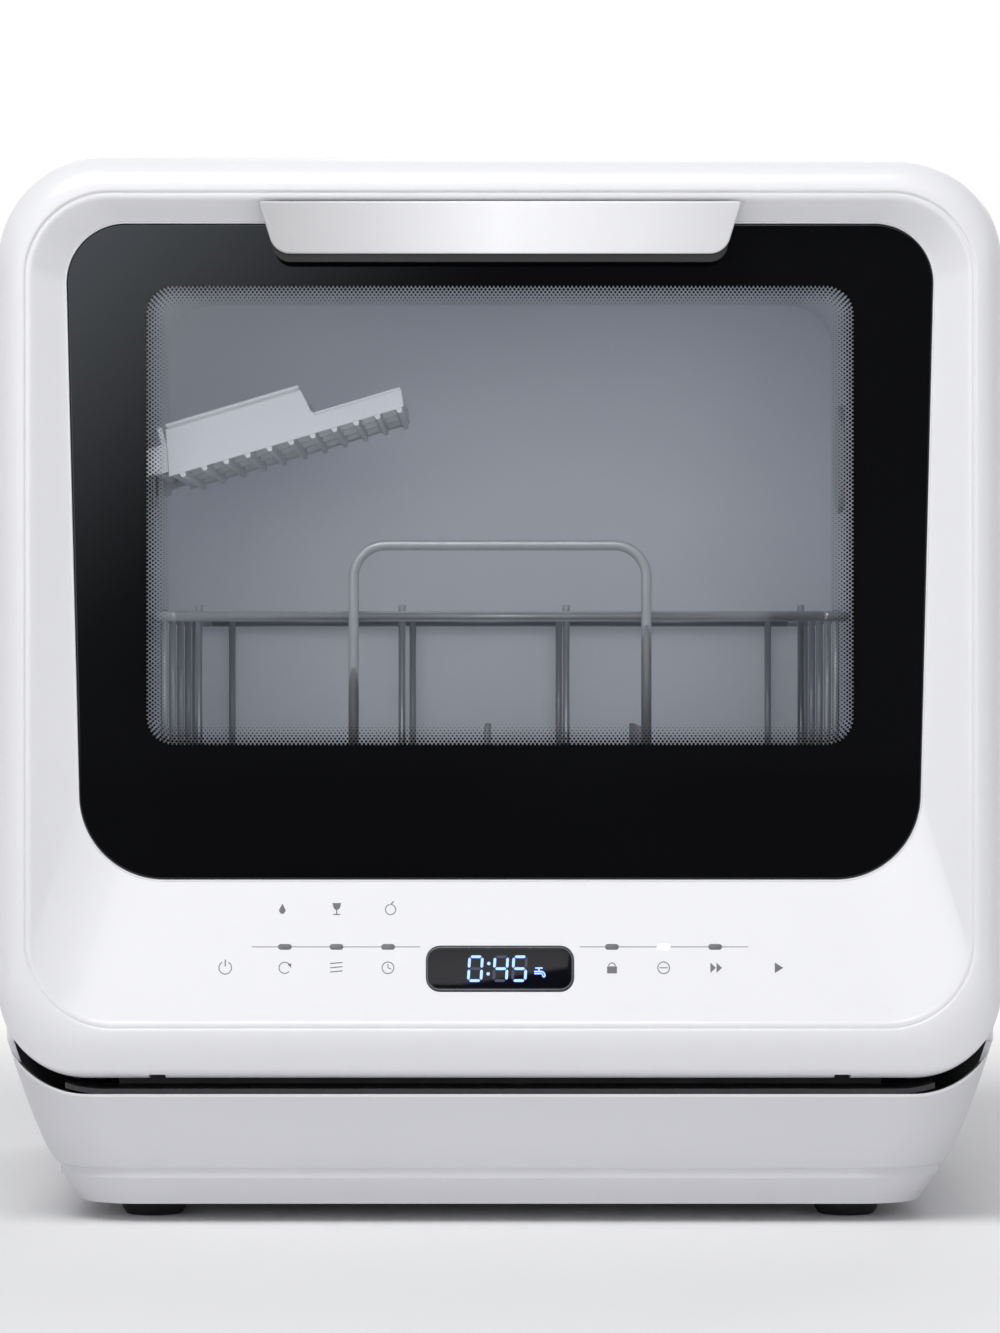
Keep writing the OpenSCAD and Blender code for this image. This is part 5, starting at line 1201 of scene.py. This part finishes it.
class DISHWASHER_OT_door_rim(bpy.types.Operator):
    """Builds the rolled rim of the door"""

    bl_idname = "dishwasher.door_rim"
    bl_label = "Door rim"

    def execute(self, context):
        build_door_rim()
        return {"FINISHED"}


class DISHWASHER_OT_fascia(bpy.types.Operator):
    """Builds the dished fascia"""

    bl_idname = "dishwasher.fascia"
    bl_label = "Fascia"

    def execute(self, context):
        build_fascia()
        return {"FINISHED"}


class DISHWASHER_OT_display(bpy.types.Operator):
    """Builds the display and its figures"""

    bl_idname = "dishwasher.display"
    bl_label = "Display"

    def execute(self, context):
        build_display()
        return {"FINISHED"}


class DISHWASHER_OT_console_marks(bpy.types.Operator):
    """Builds the lamps, the lines and the signs"""

    bl_idname = "dishwasher.console_marks"
    bl_label = "Console marks"

    def execute(self, context):
        build_console_marks()
        return {"FINISHED"}


class DISHWASHER_OT_glass(bpy.types.Operator):
    """Builds the glass and its print"""

    bl_idname = "dishwasher.glass"
    bl_label = "Glass"

    def execute(self, context):
        build_glass()
        return {"FINISHED"}


class DISHWASHER_OT_handle(bpy.types.Operator):
    """Builds the handle and its grip"""

    bl_idname = "dishwasher.handle"
    bl_label = "Handle"

    def execute(self, context):
        build_handle()
        return {"FINISHED"}


class DISHWASHER_OT_cutlery_rack(bpy.types.Operator):
    """Builds the tilted cutlery rack"""

    bl_idname = "dishwasher.cutlery_rack"
    bl_label = "Cutlery rack"

    def execute(self, context):
        build_rack()
        return {"FINISHED"}


class DISHWASHER_OT_casing(bpy.types.Operator):
    """Builds the wrapped casing"""

    bl_idname = "dishwasher.casing"
    bl_label = "Casing"

    def execute(self, context):
        build_casing()
        return {"FINISHED"}


class DISHWASHER_OT_skirt(bpy.types.Operator):
    """Builds the skirt and its bead"""

    bl_idname = "dishwasher.skirt"
    bl_label = "Skirt"

    def execute(self, context):
        build_skirt()
        return {"FINISHED"}


class DISHWASHER_OT_solids(bpy.types.Operator):
    """Gives the solids that stay their finishes and soft edges"""

    bl_idname = "dishwasher.solids"
    bl_label = "Solids"

    def execute(self, context):
        dress_nodes()
        return {"FINISHED"}


# In the order in which main calls them
OPERATORS = [
    DISHWASHER_OT_finishes, DISHWASHER_OT_stage, DISHWASHER_OT_door_rim, DISHWASHER_OT_fascia,
    DISHWASHER_OT_display, DISHWASHER_OT_console_marks, DISHWASHER_OT_glass, DISHWASHER_OT_handle,
    DISHWASHER_OT_cutlery_rack, DISHWASHER_OT_casing, DISHWASHER_OT_skirt, DISHWASHER_OT_solids,
]


class DISHWASHER_PT_panel(bpy.types.Panel):
    """Lists the colours, the sizes and the pieces of the dishwasher"""

    bl_idname = "DISHWASHER_PT_panel"
    bl_label = "Dishwasher"
    bl_space_type = "VIEW_3D"
    bl_region_type = "UI"
    bl_category = "Dishwasher"

    def draw(self, context):
        for group in (context.scene.dishwasher_colours, context.scene.dishwasher_sizes):
            for name in group.__annotations__:
                self.layout.prop(group, name)
        for cls in OPERATORS:
            self.layout.operator(cls.bl_idname)


CLASSES = [DishwasherColours, DishwasherSizes, *OPERATORS, DISHWASHER_PT_panel]


def register():
    for cls in CLASSES:
        bpy.utils.register_class(cls)
    bpy.types.Scene.dishwasher_colours = bpy.props.PointerProperty(type=DishwasherColours)
    bpy.types.Scene.dishwasher_sizes = bpy.props.PointerProperty(type=DishwasherSizes)


def unregister():
    del bpy.types.Scene.dishwasher_colours
    del bpy.types.Scene.dishwasher_sizes
    for cls in reversed(CLASSES):
        bpy.utils.unregister_class(cls)


def main():
    register()
    for cls in OPERATORS:
        group, name = cls.bl_idname.split(".")
        getattr(getattr(bpy.ops, group), name)()


if __name__ == "__main__":
    main()
